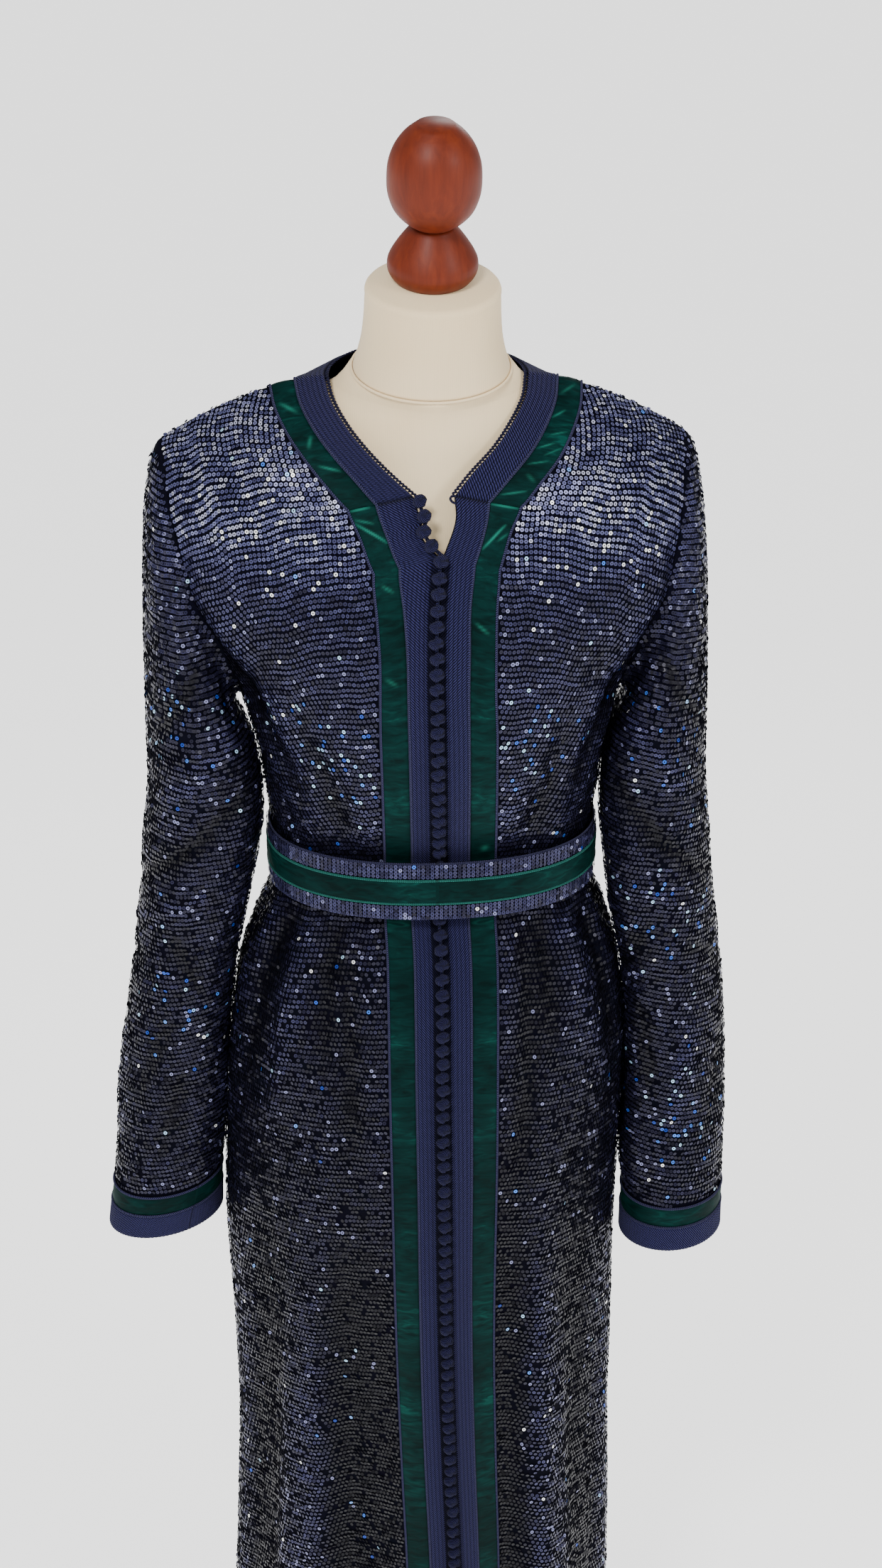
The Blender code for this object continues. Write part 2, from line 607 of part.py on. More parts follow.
def bead_strip(name, path, outward, colour):
    """Ball buttons sewn in a line: a thin tube that swells to a ball at each pitch."""
    along = lengths(path)
    count = int(along[-1] / BUTTON_PITCH)
    rings = []
    for number in range(count):
        start = number * BUTTON_PITCH
        spots = [(start, BUTTON_THREAD), (start + BUTTON_PITCH / 2, BUTTON_WIDTH)]
        if number == count - 1:
            spots.append((start + BUTTON_PITCH, BUTTON_THREAD))
        for place, width in spots:
            centre = pick(path, [place])[0]
            normal = interpolate(path, outward, place)
            ahead = pick(path, [min(place + 0.004, along[-1])])[0] - pick(path, [max(place - 0.004, 0)])[0]
            across = np.cross(ahead, normal)
            across /= np.linalg.norm(across)
            depth = width * BUTTON_DEPTH / BUTTON_WIDTH
            turn = np.linspace(0.0, 2 * math.pi, 6, endpoint=False) + math.pi / 6
            rings.append(np.array([centre + across * math.cos(a) * width / 2
                                   + normal * math.sin(a) * depth / 2 for a in turn]))
    return loft(name, rings, colour)


def interpolate(path, values, place):
    """A unit vector of the list of values, at a distance along the path."""
    along = lengths(path)
    vector = np.array([np.interp(place, along, values[:, axis]) for axis in range(3)])
    return vector / np.linalg.norm(vector)


def superellipse_ring(z, half, front, back, roundness, tilt, sides=FORM_SIDES):
    """A level or forward-tilted ring of the dress form."""
    turn = np.linspace(0.0, 2 * math.pi, sides, endpoint=False)
    power = 2.0 / roundness
    across, depth = np.sin(turn), np.cos(turn)
    x = half * np.sign(across) * np.abs(across) ** power
    middle = SIDE_Y
    reach = np.where(depth > 0, middle - front, back - middle)
    y = middle - reach * np.sign(depth) * np.abs(depth) ** power
    rise = (y - middle) * math.tan(math.radians(tilt))
    return np.stack([x, y, z + rise], 1)


def leaning_ring(base, distance, radius, sides, squash=1.0):
    """A ring square to the leaning neck axis, at a distance along it from its base."""
    axis = np.array([0.0, -math.sin(LEAN), math.cos(LEAN)])
    back = np.array([0.0, math.cos(LEAN), math.sin(LEAN)])
    turn = np.linspace(0.0, 2 * math.pi, sides, endpoint=False)
    centre = np.array(base) + axis * distance
    return np.array([centre + np.array([math.sin(a), 0, 0]) * radius - back * math.cos(a) * radius * squash
                     for a in turn])


def build_garment():
    """Front panels, back, sleeves, braids and velvet bands."""
    cloth = Cloth()
    level_rows = len(skirt_heights())
    mitre = level_rows + MITRE_ROW
    slit = level_rows + SLIT_ROW

    def front_tag(side):
        def tag(row, col):
            pieces = ["front_" + side]
            if col == 0:
                pieces.append("neck_braid" if row >= mitre else "placket_braid_" + side)
            if col == 1:
                pieces.append("neck_velvet" if row >= mitre else "front_velvet_" + side)
            return pieces
        return tag

    def yoke_tag(row, col):
        return ["back"] + [["neck_braid"], ["neck_velvet"], []][min(col, 2)]

    def sleeve_tag(side, rings):
        def tag(row, col):
            pieces = ["sleeve_" + side]
            if row == rings - 2:
                pieces.append("cuff_braid_" + side)
            if row == rings - 3:
                pieces.append("cuff_velvet_" + side)
            return pieces
        return tag

    for side, name in ((-1, "right"), (1, "left")):
        cloth.add_grid(front_grid(side), front_tag(name), flip=side < 0)
        cloth.add_grid(yoke_grid(side), yoke_tag, flip=side < 0)
        cloth.add_grid(back_grid(side), lambda row, col: ["back"], flip=side > 0)
        sleeve = sleeve_grid(side)
        cloth.add_grid(sleeve, sleeve_tag(name, len(sleeve)), flip=side > 0, closed=True)
    cloth.finish()

    half = CLOTH / 2
    for name in ("front_right", "front_left", "back", "sleeve_right", "sleeve_left"):
        cloth.shell(name, -half, half, "sequins")
    for name in ("placket_braid_right", "placket_braid_left", "neck_braid",
                 "cuff_braid_right", "cuff_braid_left"):
        cloth.shell(name, half + GAP, half + GAP + BRAID, "braid")
    for name in ("front_velvet_right", "front_velvet_left", "neck_velvet",
                 "cuff_velvet_right", "cuff_velvet_left"):
        cloth.shell(name, half + GAP, half + GAP + VELVET, "velvet")

    grid = front_grid(-1)
    centre = grid[:slit + 1, 0]
    outward = np.array([cloth.normals[cloth.vertex(point)] for point in centre])
    lift = half + GAP + BRAID + GAP + BUTTON_DEPTH / 2
    bead_strip("button_row", (centre + outward * lift)[::-1], outward[::-1], "braid")
    edge = grid[slit:mitre + 1, 0] + np.array([-0.0055, 0.0, 0.0])
    edge_normals = np.array([cloth.normals[cloth.vertex(point)] for point in grid[slit:mitre + 1, 0]])
    bead_strip("open_buttons", (edge + edge_normals * lift)[::-1], edge_normals[::-1], "braid")


def build_belt():
    """The belt band and its velvet stripe."""
    half = (BELT_RIGHT, BELT_LEFT, BELT_FRONT, BELT_BACK)
    band_ring("belt_band", half, BELT_HEIGHT, BELT_THICKNESS, BELT_Z, -BELT_THICKNESS, "sequins")
    band_ring("belt_velvet", half, BELT_STRIPE_HEIGHT, BELT_STRIPE, BELT_Z, GAP, "velvet")


def build_form():
    """Covered torso and neck, turned finial, pole and round base."""
    rings = [superellipse_ring(*row) for row in FORM_SECTIONS]
    loft("form_torso", rings, "cover")
    loft("form_neck", [leaning_ring(NECK_BASE, distance, radius, RING_SIDES, 0.9)
                       for distance, radius in NECK_PROFILE], "cover")
    finial_base = np.array(NECK_BASE) + FINIAL_BACK * np.array([0.0, math.cos(LEAN), math.sin(LEAN)])
    bell_start = NECK_PROFILE[-1][0] + GAP
    loft("finial_bell", [leaning_ring(finial_base, bell_start + distance, radius, RING_SIDES)
                         for distance, radius in BELL_PROFILE], "wood")
    ball_start = bell_start + BELL_PROFILE[-1][0] + GAP
    loft("finial_ball", [leaning_ring(finial_base, ball_start + distance, radius, RING_SIDES)
                         for distance, radius in BALL_PROFILE], "wood")
    turn = np.linspace(0.0, 2 * math.pi, 20, endpoint=False)
    circle = np.stack([np.cos(turn), np.sin(turn), 0 * turn], 1)
    pole_top = FORM_SECTIONS[0][0] - GAP
    loft("stand_pole", [circle * POLE_RADIUS + np.array([0, 0, z])
                        for z in (BASE_HEIGHT + GAP, pole_top)], "wood")
    turn = np.linspace(0.0, 2 * math.pi, 36, endpoint=False)
    circle = np.stack([np.cos(turn), np.sin(turn), 0 * turn], 1)
    loft("stand_base", [circle * radius + np.array([0, 0, z])
                        for radius, z in ((BASE_RADIUS, 0.0), (BASE_RADIUS, BASE_HEIGHT - 0.006),
                                          (BASE_RADIUS - 0.006, BASE_HEIGHT))], "wood")


for item in list(bpy.data.objects):
    bpy.data.objects.remove(item)
build_garment()
build_belt()
build_form()
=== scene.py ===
# Sequinned kaftan on a limbless dress form, in metres, +Z up, the front faces -Y.
# "Right" and "left" are the wearer's, so right is -X. Angles round the body are in degrees:
# 0 is the front, + goes to the wearer's left.
import math
import bpy
import numpy as np
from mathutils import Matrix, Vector
from mathutils.bvhtree import BVHTree


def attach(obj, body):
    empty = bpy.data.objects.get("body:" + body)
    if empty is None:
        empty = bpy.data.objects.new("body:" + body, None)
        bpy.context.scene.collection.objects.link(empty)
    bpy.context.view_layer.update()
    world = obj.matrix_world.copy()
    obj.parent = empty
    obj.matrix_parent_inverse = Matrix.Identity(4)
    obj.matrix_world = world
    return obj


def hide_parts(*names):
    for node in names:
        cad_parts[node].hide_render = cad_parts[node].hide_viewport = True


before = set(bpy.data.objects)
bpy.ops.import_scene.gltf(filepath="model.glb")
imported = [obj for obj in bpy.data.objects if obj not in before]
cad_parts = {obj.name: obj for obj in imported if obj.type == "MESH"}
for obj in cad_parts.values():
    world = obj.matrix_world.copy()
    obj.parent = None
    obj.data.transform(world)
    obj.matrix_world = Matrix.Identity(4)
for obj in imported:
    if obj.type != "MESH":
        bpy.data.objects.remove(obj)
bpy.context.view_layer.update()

dice = np.random.default_rng(27)


def smoothStep(low, high, value):
    # 0 at low, 1 at high, level at both ends: 3s^2 - 2s^3
    step = np.clip((value - low) / (high - low), 0.0, 1.0)
    return step * step * (3.0 - 2.0 * step)


def curveThrough(keys, values, at):
    # cubic through the table's rows, each slope the mean of its neighbours'
    keys, values, at = np.asarray(keys, float), np.asarray(values, float), np.asarray(at, float)
    slopes = np.gradient(values, keys)
    spot = np.clip(np.searchsorted(keys, at) - 1, 0, len(keys) - 2)
    span = keys[spot + 1] - keys[spot]
    u = np.clip((at - keys[spot]) / span, 0.0, 1.0)
    return ((2 * u**3 - 3 * u**2 + 1) * values[spot] + (u**3 - 2 * u**2 + u) * span * slopes[spot]
            + (3 * u**2 - 2 * u**3) * values[spot + 1] + (u**3 - u**2) * span * slopes[spot + 1])


def hermite(start, end, leave, arrive, u):
    # cubic from start to end with those end slopes
    return ((2 * u**3 - 3 * u**2 + 1) * start + (u**3 - 2 * u**2 + u) * leave
            + (3 * u**2 - 2 * u**3) * end + (u**3 - u**2) * arrive)


def lengthsAlong(points):
    # running length of a path, or of each path in a stack, along its last-but-one axis
    steps = np.linalg.norm(np.diff(points, axis=-2), axis=-1)
    return np.concatenate([np.zeros(steps.shape[:-1] + (1,)), np.cumsum(steps, axis=-1)], axis=-1)


def pickAlong(path, distances):
    # points of one path at distances along it
    along = lengthsAlong(path)
    return np.stack([np.interp(distances, along, path[:, axis]) for axis in range(3)], -1)


def unitRows(vectors):
    return vectors / np.maximum(np.linalg.norm(vectors, axis=-1, keepdims=True), 1e-12)


def sampleGrid(grid, i, j):
    # bilinear value of a grid at fractional row i and column j
    i = np.clip(i, 0, grid.shape[0] - 1.0001)
    j = np.clip(j, 0, grid.shape[1] - 1.0001)
    a, b = i.astype(int), j.astype(int)
    u, v = (i - a)[..., None], (j - b)[..., None]
    flat = grid.reshape(grid.shape[0], grid.shape[1], -1)
    return ((1 - u) * (1 - v) * flat[a, b] + (1 - u) * v * flat[a, b + 1]
            + u * (1 - v) * flat[a + 1, b] + u * v * flat[a + 1, b + 1])


def gridNormals(grid, outward, closed=False):
    # cross product of the two grid slopes, turned to face the outward guess
    if closed:
        across = np.roll(grid, -1, axis=1) - np.roll(grid, 1, axis=1)
    else:
        across = np.gradient(grid, axis=1)
    normal = unitRows(np.cross(across, np.gradient(grid, axis=0)))
    side = np.sign(np.median((normal * outward).sum(-1)))
    return normal * side


def wave(value, seed):
    # soft irregular wave of one variable, about -1 to 1: a sum of five sines
    turns = np.random.default_rng(seed)
    total = np.zeros_like(value)
    for octave in range(5):
        total += np.sin(value * (1.0 + 0.83 * octave) + turns.uniform(0, 6.28)) / (1.0 + 0.6 * octave)
    return total / 2.4


def newObject(name, vertices, faceSizes, corners, material, maps=None, smooth=True):
    # maps holds UV arrays by name, one row a face corner
    mesh = bpy.data.meshes.new(name)
    mesh.vertices.add(len(vertices))
    mesh.vertices.foreach_set("co", np.asarray(vertices, np.float32).ravel())
    mesh.loops.add(len(corners))
    mesh.loops.foreach_set("vertex_index", np.asarray(corners, np.int32))
    mesh.polygons.add(len(faceSizes))
    starts = np.concatenate([[0], np.cumsum(faceSizes)[:-1]])
    mesh.polygons.foreach_set("loop_start", np.asarray(starts, np.int32))
    mesh.update(calc_edges=True)
    for key, uv in (maps or {}).items():
        layer = mesh.uv_layers.new(name=key)
        layer.data.foreach_set("uv", np.asarray(uv, np.float32).ravel())
    mesh.polygons.foreach_set("use_smooth", np.full(len(mesh.polygons), smooth))
    mesh.materials.append(material)
    made = bpy.data.objects.new(name, mesh)
    bpy.context.scene.collection.objects.link(made)
    return made


def quadsOf(rows, columns, closed=False, flip=False, start=0):
    # corner numbers of a grid's cells
    across = columns if closed else columns - 1
    i, j = np.meshgrid(np.arange(rows - 1), np.arange(across), indexing="ij")
    k = (j + 1) % columns
    cells = np.stack([i * columns + j, i * columns + k, (i + 1) * columns + k, (i + 1) * columns + j], -1)
    cells = cells.reshape(-1, 4) + start
    return cells[:, ::-1] if flip else cells


def clothWall(name, grid, normals, inner, outer, material, closed=False, press=None):
    # closed wall: the grid moved along its normals to inner and to outer, joined round its edges;
    # the last argument is a 0 to 1 value a point for its material: painted shade on the braid, painted
    # highlights on the velvet's creases
    rows, columns = grid.shape[:2]
    inner = np.broadcast_to(np.asarray(inner, float), (rows, columns))[..., None]
    outer = np.broadcast_to(np.asarray(outer, float), (rows, columns))[..., None]
    vertices = np.concatenate([(grid + normals * outer).reshape(-1, 3),
                               (grid + normals * inner).reshape(-1, 3)])
    count = rows * columns
    first = np.cross(grid[0, 1] - grid[0, 0], grid[1, 0] - grid[0, 0])
    flip = first @ normals[0, 0] < 0
    faces = [quadsOf(rows, columns, closed, flip), quadsOf(rows, columns, closed, not flip, count)]
    across = columns if closed else columns - 1
    j = np.arange(across)
    k = (j + 1) % columns
    last = (rows - 1) * columns
    low = np.stack([k, j, j + count, k + count], -1)
    high = np.stack([j + last, k + last, k + last + count, j + last + count], -1)
    faces += [low[:, ::-1] if flip else low, high[:, ::-1] if flip else high]
    if not closed:
        i = np.arange(rows - 1) * columns
        left = np.stack([i, i + columns, i + columns + count, i + count], -1)
        e = i + columns - 1
        right = np.stack([e + columns, e, e + count, e + columns + count], -1)
        faces += [left[:, ::-1] if flip else left, right[:, ::-1] if flip else right]
    faces = np.concatenate(faces)
    uv = surfaceUv(grid).reshape(-1, 2)
    # bake map: the outer wall fills the left half and the inner one the right, the rim no area
    span = np.maximum(np.ptp(uv, axis=0), 1e-6)
    atlas = (uv - uv.min(axis=0)) / span * np.array([0.49, 0.99]) + 0.004
    corners = faces.ravel()
    innerFace = np.repeat(np.all(faces >= count, axis=1), 4)
    bake = atlas[corners % count] + np.where(innerFace, 0.5, 0.0)[:, None] * np.array([1.0, 0.0])
    maps = {"cloth": uv[corners % count], "OFBake": bake}
    # the painted shade and painted highlights go to the material as a UV map
    if press is not None:
        paintedShadingFlat = np.broadcast_to(press, (rows, columns)).ravel()
        maps["press"] = np.stack([paintedShadingFlat, 0 * paintedShadingFlat], 1)[corners % count]
    return newObject(name, vertices, np.full(len(faces), 4), corners, material, maps)


def surfaceUv(grid):
    # u runs across and v along, both in metres, measured on the middle row and column
    rows, columns = grid.shape[:2]
    across = lengthsAlong(grid[rows // 2])
    along = lengthsAlong(grid[:, columns // 2])
    return np.stack(np.broadcast_arrays(across[None, :], along[:, None]), -1)


def cordAlong(name, path, normals, radius, material, sides=8, closedPath=False):
    # round cord: circle of that radius carried along the path, its zero angle on the normal
    if closedPath:
        ahead = np.roll(path, -1, axis=0) - np.roll(path, 1, axis=0)
    else:
        ahead = np.gradient(path, axis=0)
    ahead = unitRows(ahead)
    side = unitRows(np.cross(ahead, normals))
    up = np.cross(side, ahead)
    turn = np.linspace(0, 2 * math.pi, sides, endpoint=False)
    radius = np.broadcast_to(np.asarray(radius, float), (len(path),))[:, None, None]
    grid = path[:, None] + radius * (up[:, None] * np.cos(turn)[None, :, None]
                                     + side[:, None] * np.sin(turn)[None, :, None])
    rows = len(path)
    along = lengthsAlong(path)
    uv = np.stack(np.broadcast_arrays(turn[None, :] * 0.0012, along[:, None]), -1).reshape(-1, 2)
    vertices = grid.reshape(-1, 3)
    first = np.cross(grid[0, 1] - grid[0, 0], grid[1, 0] - grid[0, 0])
    flip = first @ (grid[0, 0] - path[0]) < 0
    if closedPath:
        cells = quadsOf(rows + 1, sides, True, flip) % (rows * sides)
        return newObject(name, vertices, np.full(len(cells), 4), cells.ravel(), material,
                         {"cloth": uv[cells.ravel()]})
    cells = quadsOf(rows, sides, True, flip)
    ends = [np.arange(sides)[::-1], np.arange(sides) + (rows - 1) * sides]
    ends = [end[::-1] for end in ends] if flip else ends
    corners = np.concatenate([cells.ravel(), ends[0], ends[1]])
    sizes = np.concatenate([np.full(len(cells), 4), [sides, sides]])
    return newObject(name, vertices, sizes, corners, material, {"cloth": uv[corners]})


def joinPieces(name, pieces):
    # several made objects as one piece, their UV maps kept
    for item in bpy.context.selected_objects:
        item.select_set(False)
    for item in pieces:
        item.select_set(True)
    bpy.context.view_layer.objects.active = pieces[0]
    bpy.ops.object.join()
    pieces[0].name = name
    pieces[0].data.name = name
    return pieces[0]


def finishPiece(piece, slotName, *nodes):
    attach(piece, "root")
    if nodes:
        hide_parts(*nodes)
    return piece


body = {
    "roundness": 2.25,      # 2 is an oval, more is squarer
    "sideY": 0.006,         # the side seams' place between front and back
    "sections": [
        # z      right   left    front   back   placket
        (0.030, -0.200, 0.176, -0.134, 0.146, 0.018),
        (0.200, -0.192, 0.170, -0.130, 0.141, 0.017),
        (0.340, -0.184, 0.167, -0.126, 0.137, 0.014),
        (0.450, -0.179, 0.163, -0.124, 0.134, 0.010),
        (0.550, -0.180, 0.163, -0.123, 0.133, 0.007),
        (0.660, -0.184, 0.163, -0.123, 0.132, 0.005),
        (0.760, -0.181, 0.166, -0.121, 0.130, 0.004),
        (0.860, -0.172, 0.165, -0.116, 0.122, 0.003),
        (0.930, -0.159, 0.154, -0.106, 0.105, 0.003),
        (0.960, -0.1475, 0.1440, -0.0960, 0.0940, 0.003),
        (0.9935, -0.1328, 0.1328, -0.0805, 0.0787, 0.002),
        (1.0225, -0.1322, 0.1322, -0.0800, 0.0780, 0.002),
        (1.0515, -0.1328, 0.1328, -0.0812, 0.0785, 0.002),
        (1.0850, -0.1365, 0.1365, -0.0935, 0.0830, 0.001),
        (1.1220, -0.1420, 0.1410, -0.1050, 0.0900, 0.000),
        (1.1600, -0.1520, 0.1495, -0.1120, 0.0980, -0.001),
    ],
    "upperRows": [
        # inner x right, left, y, z; outer x right, left, y, z; turn, swell, droop; width shares
        # of the right braid and velvet, then of the left
        (-0.002, -0.002, -0.1145, 1.200, -0.1555, 0.1530, -0.016, 1.177, 80, 0.0, 1.0, 1.0, 0.98, 1.02, 0.97),
        (-0.002, -0.002, -0.1135, 1.235, -0.165, 0.1615, -0.036, 1.202, 72, 0.0, 1.0, 1.03, 0.96, 1.04, 0.95),
        (-0.001, -0.001, -0.108, 1.268, -0.177, 0.172, -0.048, 1.230, 66, 0.0, 1.0, 1.16, 0.95, 1.02, 0.95),
        (0.002, 0.002, -0.0975, 1.300, -0.187, 0.181, -0.053, 1.257, 62, 0.001, 1.0, 1.41, 0.90, 1.06, 0.89),
        (-0.012, 0.012, -0.0860, 1.324, -0.194, 0.187, -0.049, 1.286, 60, 0.003, 1.0, 1.25, 0.88, 1.00, 0.88),
        (-0.018, 0.012, -0.0770, 1.341, -0.199, 0.190, -0.046, 1.308, 60, 0.005, 1.0, 1.24, 0.97, 1.14, 1.10),
        (-0.036, 0.026, -0.0665, 1.355, -0.202, 0.192, -0.041, 1.327, 60, 0.006, 1.1, 1.12, 1.00, 1.22, 1.07),
        (-0.053, 0.044, -0.0530, 1.370, -0.204, 0.193, -0.033, 1.342, 60, 0.006, 1.2, 1.07, 0.93, 1.16, 1.01),
        (-0.067, 0.058, -0.0370, 1.385, -0.205, 0.194, -0.023, 1.354, 60, 0.005, 1.3, 1.03, 0.89, 1.10, 0.93),
        (-0.077, 0.069, -0.0185, 1.400, -0.206, 0.195, -0.011, 1.363, 60, 0.003, 1.5, 1.01, 0.87, 1.02, 0.89),
        (-0.081, 0.073, 0.0000, 1.413, -0.206, 0.195, 0.000, 1.369, 60, 0.000, 1.7, 1.00, 0.87, 1.00, 0.87),
    ],
    "slitRow": 4, "mitreRow": 6,          # counted with the underarm level as row 0
    "slitRound": 0.0060,
    "backNeck": (0.066, 1.424),
    "braidWidth": 0.0235, "velvetWidth": 0.0210, "backVelvetShare": 0.87,
    "cloth": 0.0012, "seamPull": 0.0040,
    "levels": 124,          # level rows from the hem to the underarm
    "columns": 48,          # columns of a front outside its bands
    "finer": 9,             # steps between two rows of the upper table
}

folds = {
    "skirt": [
        # angle_top angle_hem depth  width z_top  z_full
        (16.0, 23.0, -0.0130, 7.0, 0.880, 0.520),
        (28.0, 36.0, 0.0060, 8.0, 0.800, 0.480),
        (44.0, 52.0, -0.0070, 8.0, 0.900, 0.500),
        (66.0, 70.0, 0.0050, 9.0, 0.850, 0.450),
        (-17.0, -24.0, -0.0140, 8.0, 0.800, 0.420),
        (-34.0, -42.0, 0.0070, 8.0, 0.720, 0.380),
        (-52.0, -58.0, -0.0060, 8.0, 0.900, 0.480),
        (-72.0, -76.0, 0.0050, 9.0, 0.820, 0.420),
        (104.0, 108.0, 0.0060, 9.0, 0.820, 0.450),
        (122.0, 128.0, -0.0100, 9.0, 0.900, 0.480),
        (142.0, 146.0, 0.0080, 9.0, 0.860, 0.430),
        (162.0, 168.0, -0.0090, 8.0, 0.900, 0.500),
        (-108.0, -112.0, 0.0060, 9.0, 0.840, 0.460),
        (-128.0, -132.0, -0.0110, 9.0, 0.880, 0.440),
        (-150.0, -153.0, 0.0080, 9.0, 0.860, 0.480),
    ],
    "gathers": 16, "gatherDepth": 0.0034, "gatherAbove": 0.060, "gatherBelow": 0.120,
    # the second value below is the trough depth at which the sequins' painted shade is full
    "beltZ": 1.0225, "paintedShadeDepth": 0.0066,
    "creases": [
        # angle, z at one end; angle, z at the other; depth (+ out), width in degrees
        (34.0, 1.060, 44.0, 1.190, -0.0030, 3.2),
        (52.0, 1.056, 66.0, 1.170, 0.0024, 3.6),
        (25.0, 1.052, 24.0, 1.130, 0.0018, 3.0),
        (-32.0, 1.060, -46.0, 1.200, -0.0032, 3.4),
        (-50.0, 1.056, -64.0, 1.160, 0.0026, 3.4),
        (-24.0, 1.052, -25.0, 1.120, 0.0016, 3.0),
        (74.0, 1.150, 30.0, 1.245, -0.0022, 4.0),
        (-74.0, 1.150, -36.0, 1.255, -0.0024, 4.0),
        (80.0, 1.300, 46.0, 1.070, -0.0044, 4.2),
        (70.0, 1.280, 38.0, 1.090, 0.0026, 4.6),
        (-80.0, 1.300, -47.0, 1.070, -0.0044, 4.2),
        (-70.0, 1.285, -39.0, 1.085, 0.0026, 4.6),
        (29.0, 0.992, 24.0, 0.700, -0.0050, 2.4),
        (38.0, 0.990, 34.0, 0.860, -0.0044, 2.4),
        (47.0, 0.990, 55.0, 0.780, 0.0034, 3.0),
        (60.0, 0.990, 64.0, 0.800, -0.0040, 2.8),
        (76.0, 0.985, 82.0, 0.740, 0.0030, 3.2),
        (-27.0, 0.992, -22.0, 0.720, -0.0050, 2.4),
        (-36.0, 0.990, -31.0, 0.840, -0.0042, 2.4),
        (-46.0, 0.990, -50.0, 0.760, 0.0036, 3.0),
        (-59.0, 0.990, -64.0, 0.790, -0.0040, 2.8),
        (-72.0, 0.985, -79.0, 0.720, 0.0030, 3.2),
        (24.0, 0.760, 26.0, 0.060, -0.0052, 2.8),
        (-25.0, 0.740, -28.0, 0.060, -0.0050, 2.8),
        (33.0, 0.700, 36.0, 0.060, 0.0040, 2.6),
        (40.0, 0.620, 43.0, 0.050, 0.0038, 3.2),
        (60.0, 0.600, 62.0, 0.060, -0.0036, 3.4),
        (-29.0, 0.660, -33.0, 0.060, -0.0034, 2.6),
        (-46.0, 0.600, -51.0, 0.050, 0.0040, 3.2),
        (-64.0, 0.560, -68.0, 0.050, -0.0034, 3.4),
        (96.0, 0.940, 99.0, 0.140, -0.0034, 3.2),
        (114.0, 0.960, 117.0, 0.100, 0.0030, 3.0),
        (133.0, 0.970, 137.0, 0.080, -0.0036, 3.4),
        (153.0, 0.980, 157.0, 0.080, 0.0032, 3.2),
        (176.0, 0.960, 178.0, 0.060, -0.0034, 3.4),
        (-98.0, 0.950, -101.0, 0.120, -0.0034, 3.2),
        (-119.0, 0.970, -122.0, 0.080, 0.0030, 3.0),
        (-141.0, 0.970, -143.0, 0.070, -0.0036, 3.4),
        (-164.0, 0.980, -166.0, 0.060, 0.0032, 3.2),
        (150.0, 1.060, 140.0, 1.200, -0.0030, 4.0),
        (172.0, 1.060, 168.0, 1.180, 0.0022, 3.6),
        (-152.0, 1.060, -143.0, 1.210, -0.0032, 4.0),
        (-170.0, 1.060, -165.0, 1.190, 0.0022, 3.6),
        (110.0, 1.070, 122.0, 1.180, 0.0024, 3.6),
        (-112.0, 1.070, -124.0, 1.175, 0.0024, 3.6),
    ],
}


def sectionAt(z):
    # right, left, front, back and placket of the level ring at each height
    rows = np.array(body["sections"])
    z = np.clip(z, rows[0, 0], rows[-1, 0])
    return [curveThrough(rows[:, 0], rows[:, k], z) for k in range(1, 6)]


def foldMove(points):
    # how far each point moves along its ring's normal: bell-shaped folds round their angle,
    # cosine gathers at the belt, and listed creases that fade at both ends
    x, y, z = points.T
    right, left, front, back, placket = sectionAt(z)
    across = (x - (right + left) / 2) / ((left - right) / 2)
    sideY = body["sideY"]
    depth = np.where(y < sideY, (y - sideY) / (sideY - front), (y - sideY) / (back - sideY))
    angle = np.degrees(np.arctan2(across, -depth))
    move = np.zeros(len(points))
    hem = body["sections"][0][0]
    for top, low, height, width, zTop, zFull in folds["skirt"]:
        place = low + (top - low) * smoothStep(hem, zTop, z)
        turn = (angle - place + 180.0) % 360.0 - 180.0
        move += height * np.exp(-0.5 * (turn / width) ** 2) * (1.0 - smoothStep(zFull, zTop, z))
    beltZ = folds["beltZ"]
    reach = np.where(z > beltZ, folds["gatherAbove"], folds["gatherBelow"])
    away = np.abs(z - beltZ)
    strength = np.exp(-((away / reach) ** 2)) * smoothStep(0.030, 0.055, away)
    flatFront = smoothStep(14.0, 26.0, np.abs(angle))
    ripple = np.cos(np.radians(folds["gathers"] * angle)) + 0.4 * np.sin(np.radians(9 * angle + 40.0))
    move += folds["gatherDepth"] * strength * flatFront * ripple
    for a0, z0, a1, z1, height, width in folds["creases"]:
        s = (z - z0) / (z1 - z0)
        turn = (angle - (a0 + (a1 - a0) * s) + 180.0) % 360.0 - 180.0
        bump = smoothStep(0.0, 0.22, s) * (1.0 - smoothStep(0.55, 1.0, s))
        move += height * bump * np.exp(-0.5 * (turn / width) ** 2) * smoothStep(0.026, 0.040, away)
    outward = unitRows(np.stack([across / (left - right), depth / (back - front), 0 * x], 1))
    return move, outward


def addFolds(points):
    flat = points.reshape(-1, 3)
    move, outward = foldMove(flat)
    return (flat + outward * move[:, None]).reshape(points.shape)


def paintedFoldShade(move):
    # painted shade and painted highlight: a factor on the sequins' tone, lower in a trough, where cloth faces
    # its own dark sides, higher on a ridge, which faces the light
    return 1.0 + np.clip(move / folds["paintedShadeDepth"], -1.05, 0.45) * 0.85


def quarterPaths(inner, outer, turn, swell, droop, samples=100):
    # rounded quarter turns: x ~ sin^p, y ~ 1 - cos^p, z ~ x^droop, one path for each row
    share = np.linspace(0.0, 1.0, samples)[None, :]
    turn = np.radians(turn)[:, None]
    power = 2.0 / body["roundness"]
    across = np.sin(share * turn) ** power / np.sin(turn) ** power
    cosine = np.clip(np.cos(share * turn), 1e-9, 1.0) ** power
    back = (1.0 - cosine) / (1.0 - np.clip(np.cos(turn), 1e-9, 1.0) ** power)
    swell, droop = swell[:, None], droop[:, None]
    x = inner[:, :1] + (outer[:, :1] - inner[:, :1]) * across
    y = inner[:, 1:2] + (outer[:, 1:2] - inner[:, 1:2]) * back - swell * np.sin(math.pi * across)
    z = inner[:, 2:] + (outer[:, 2:] - inner[:, 2:]) * across**droop
    return np.stack([x, y, z], -1)


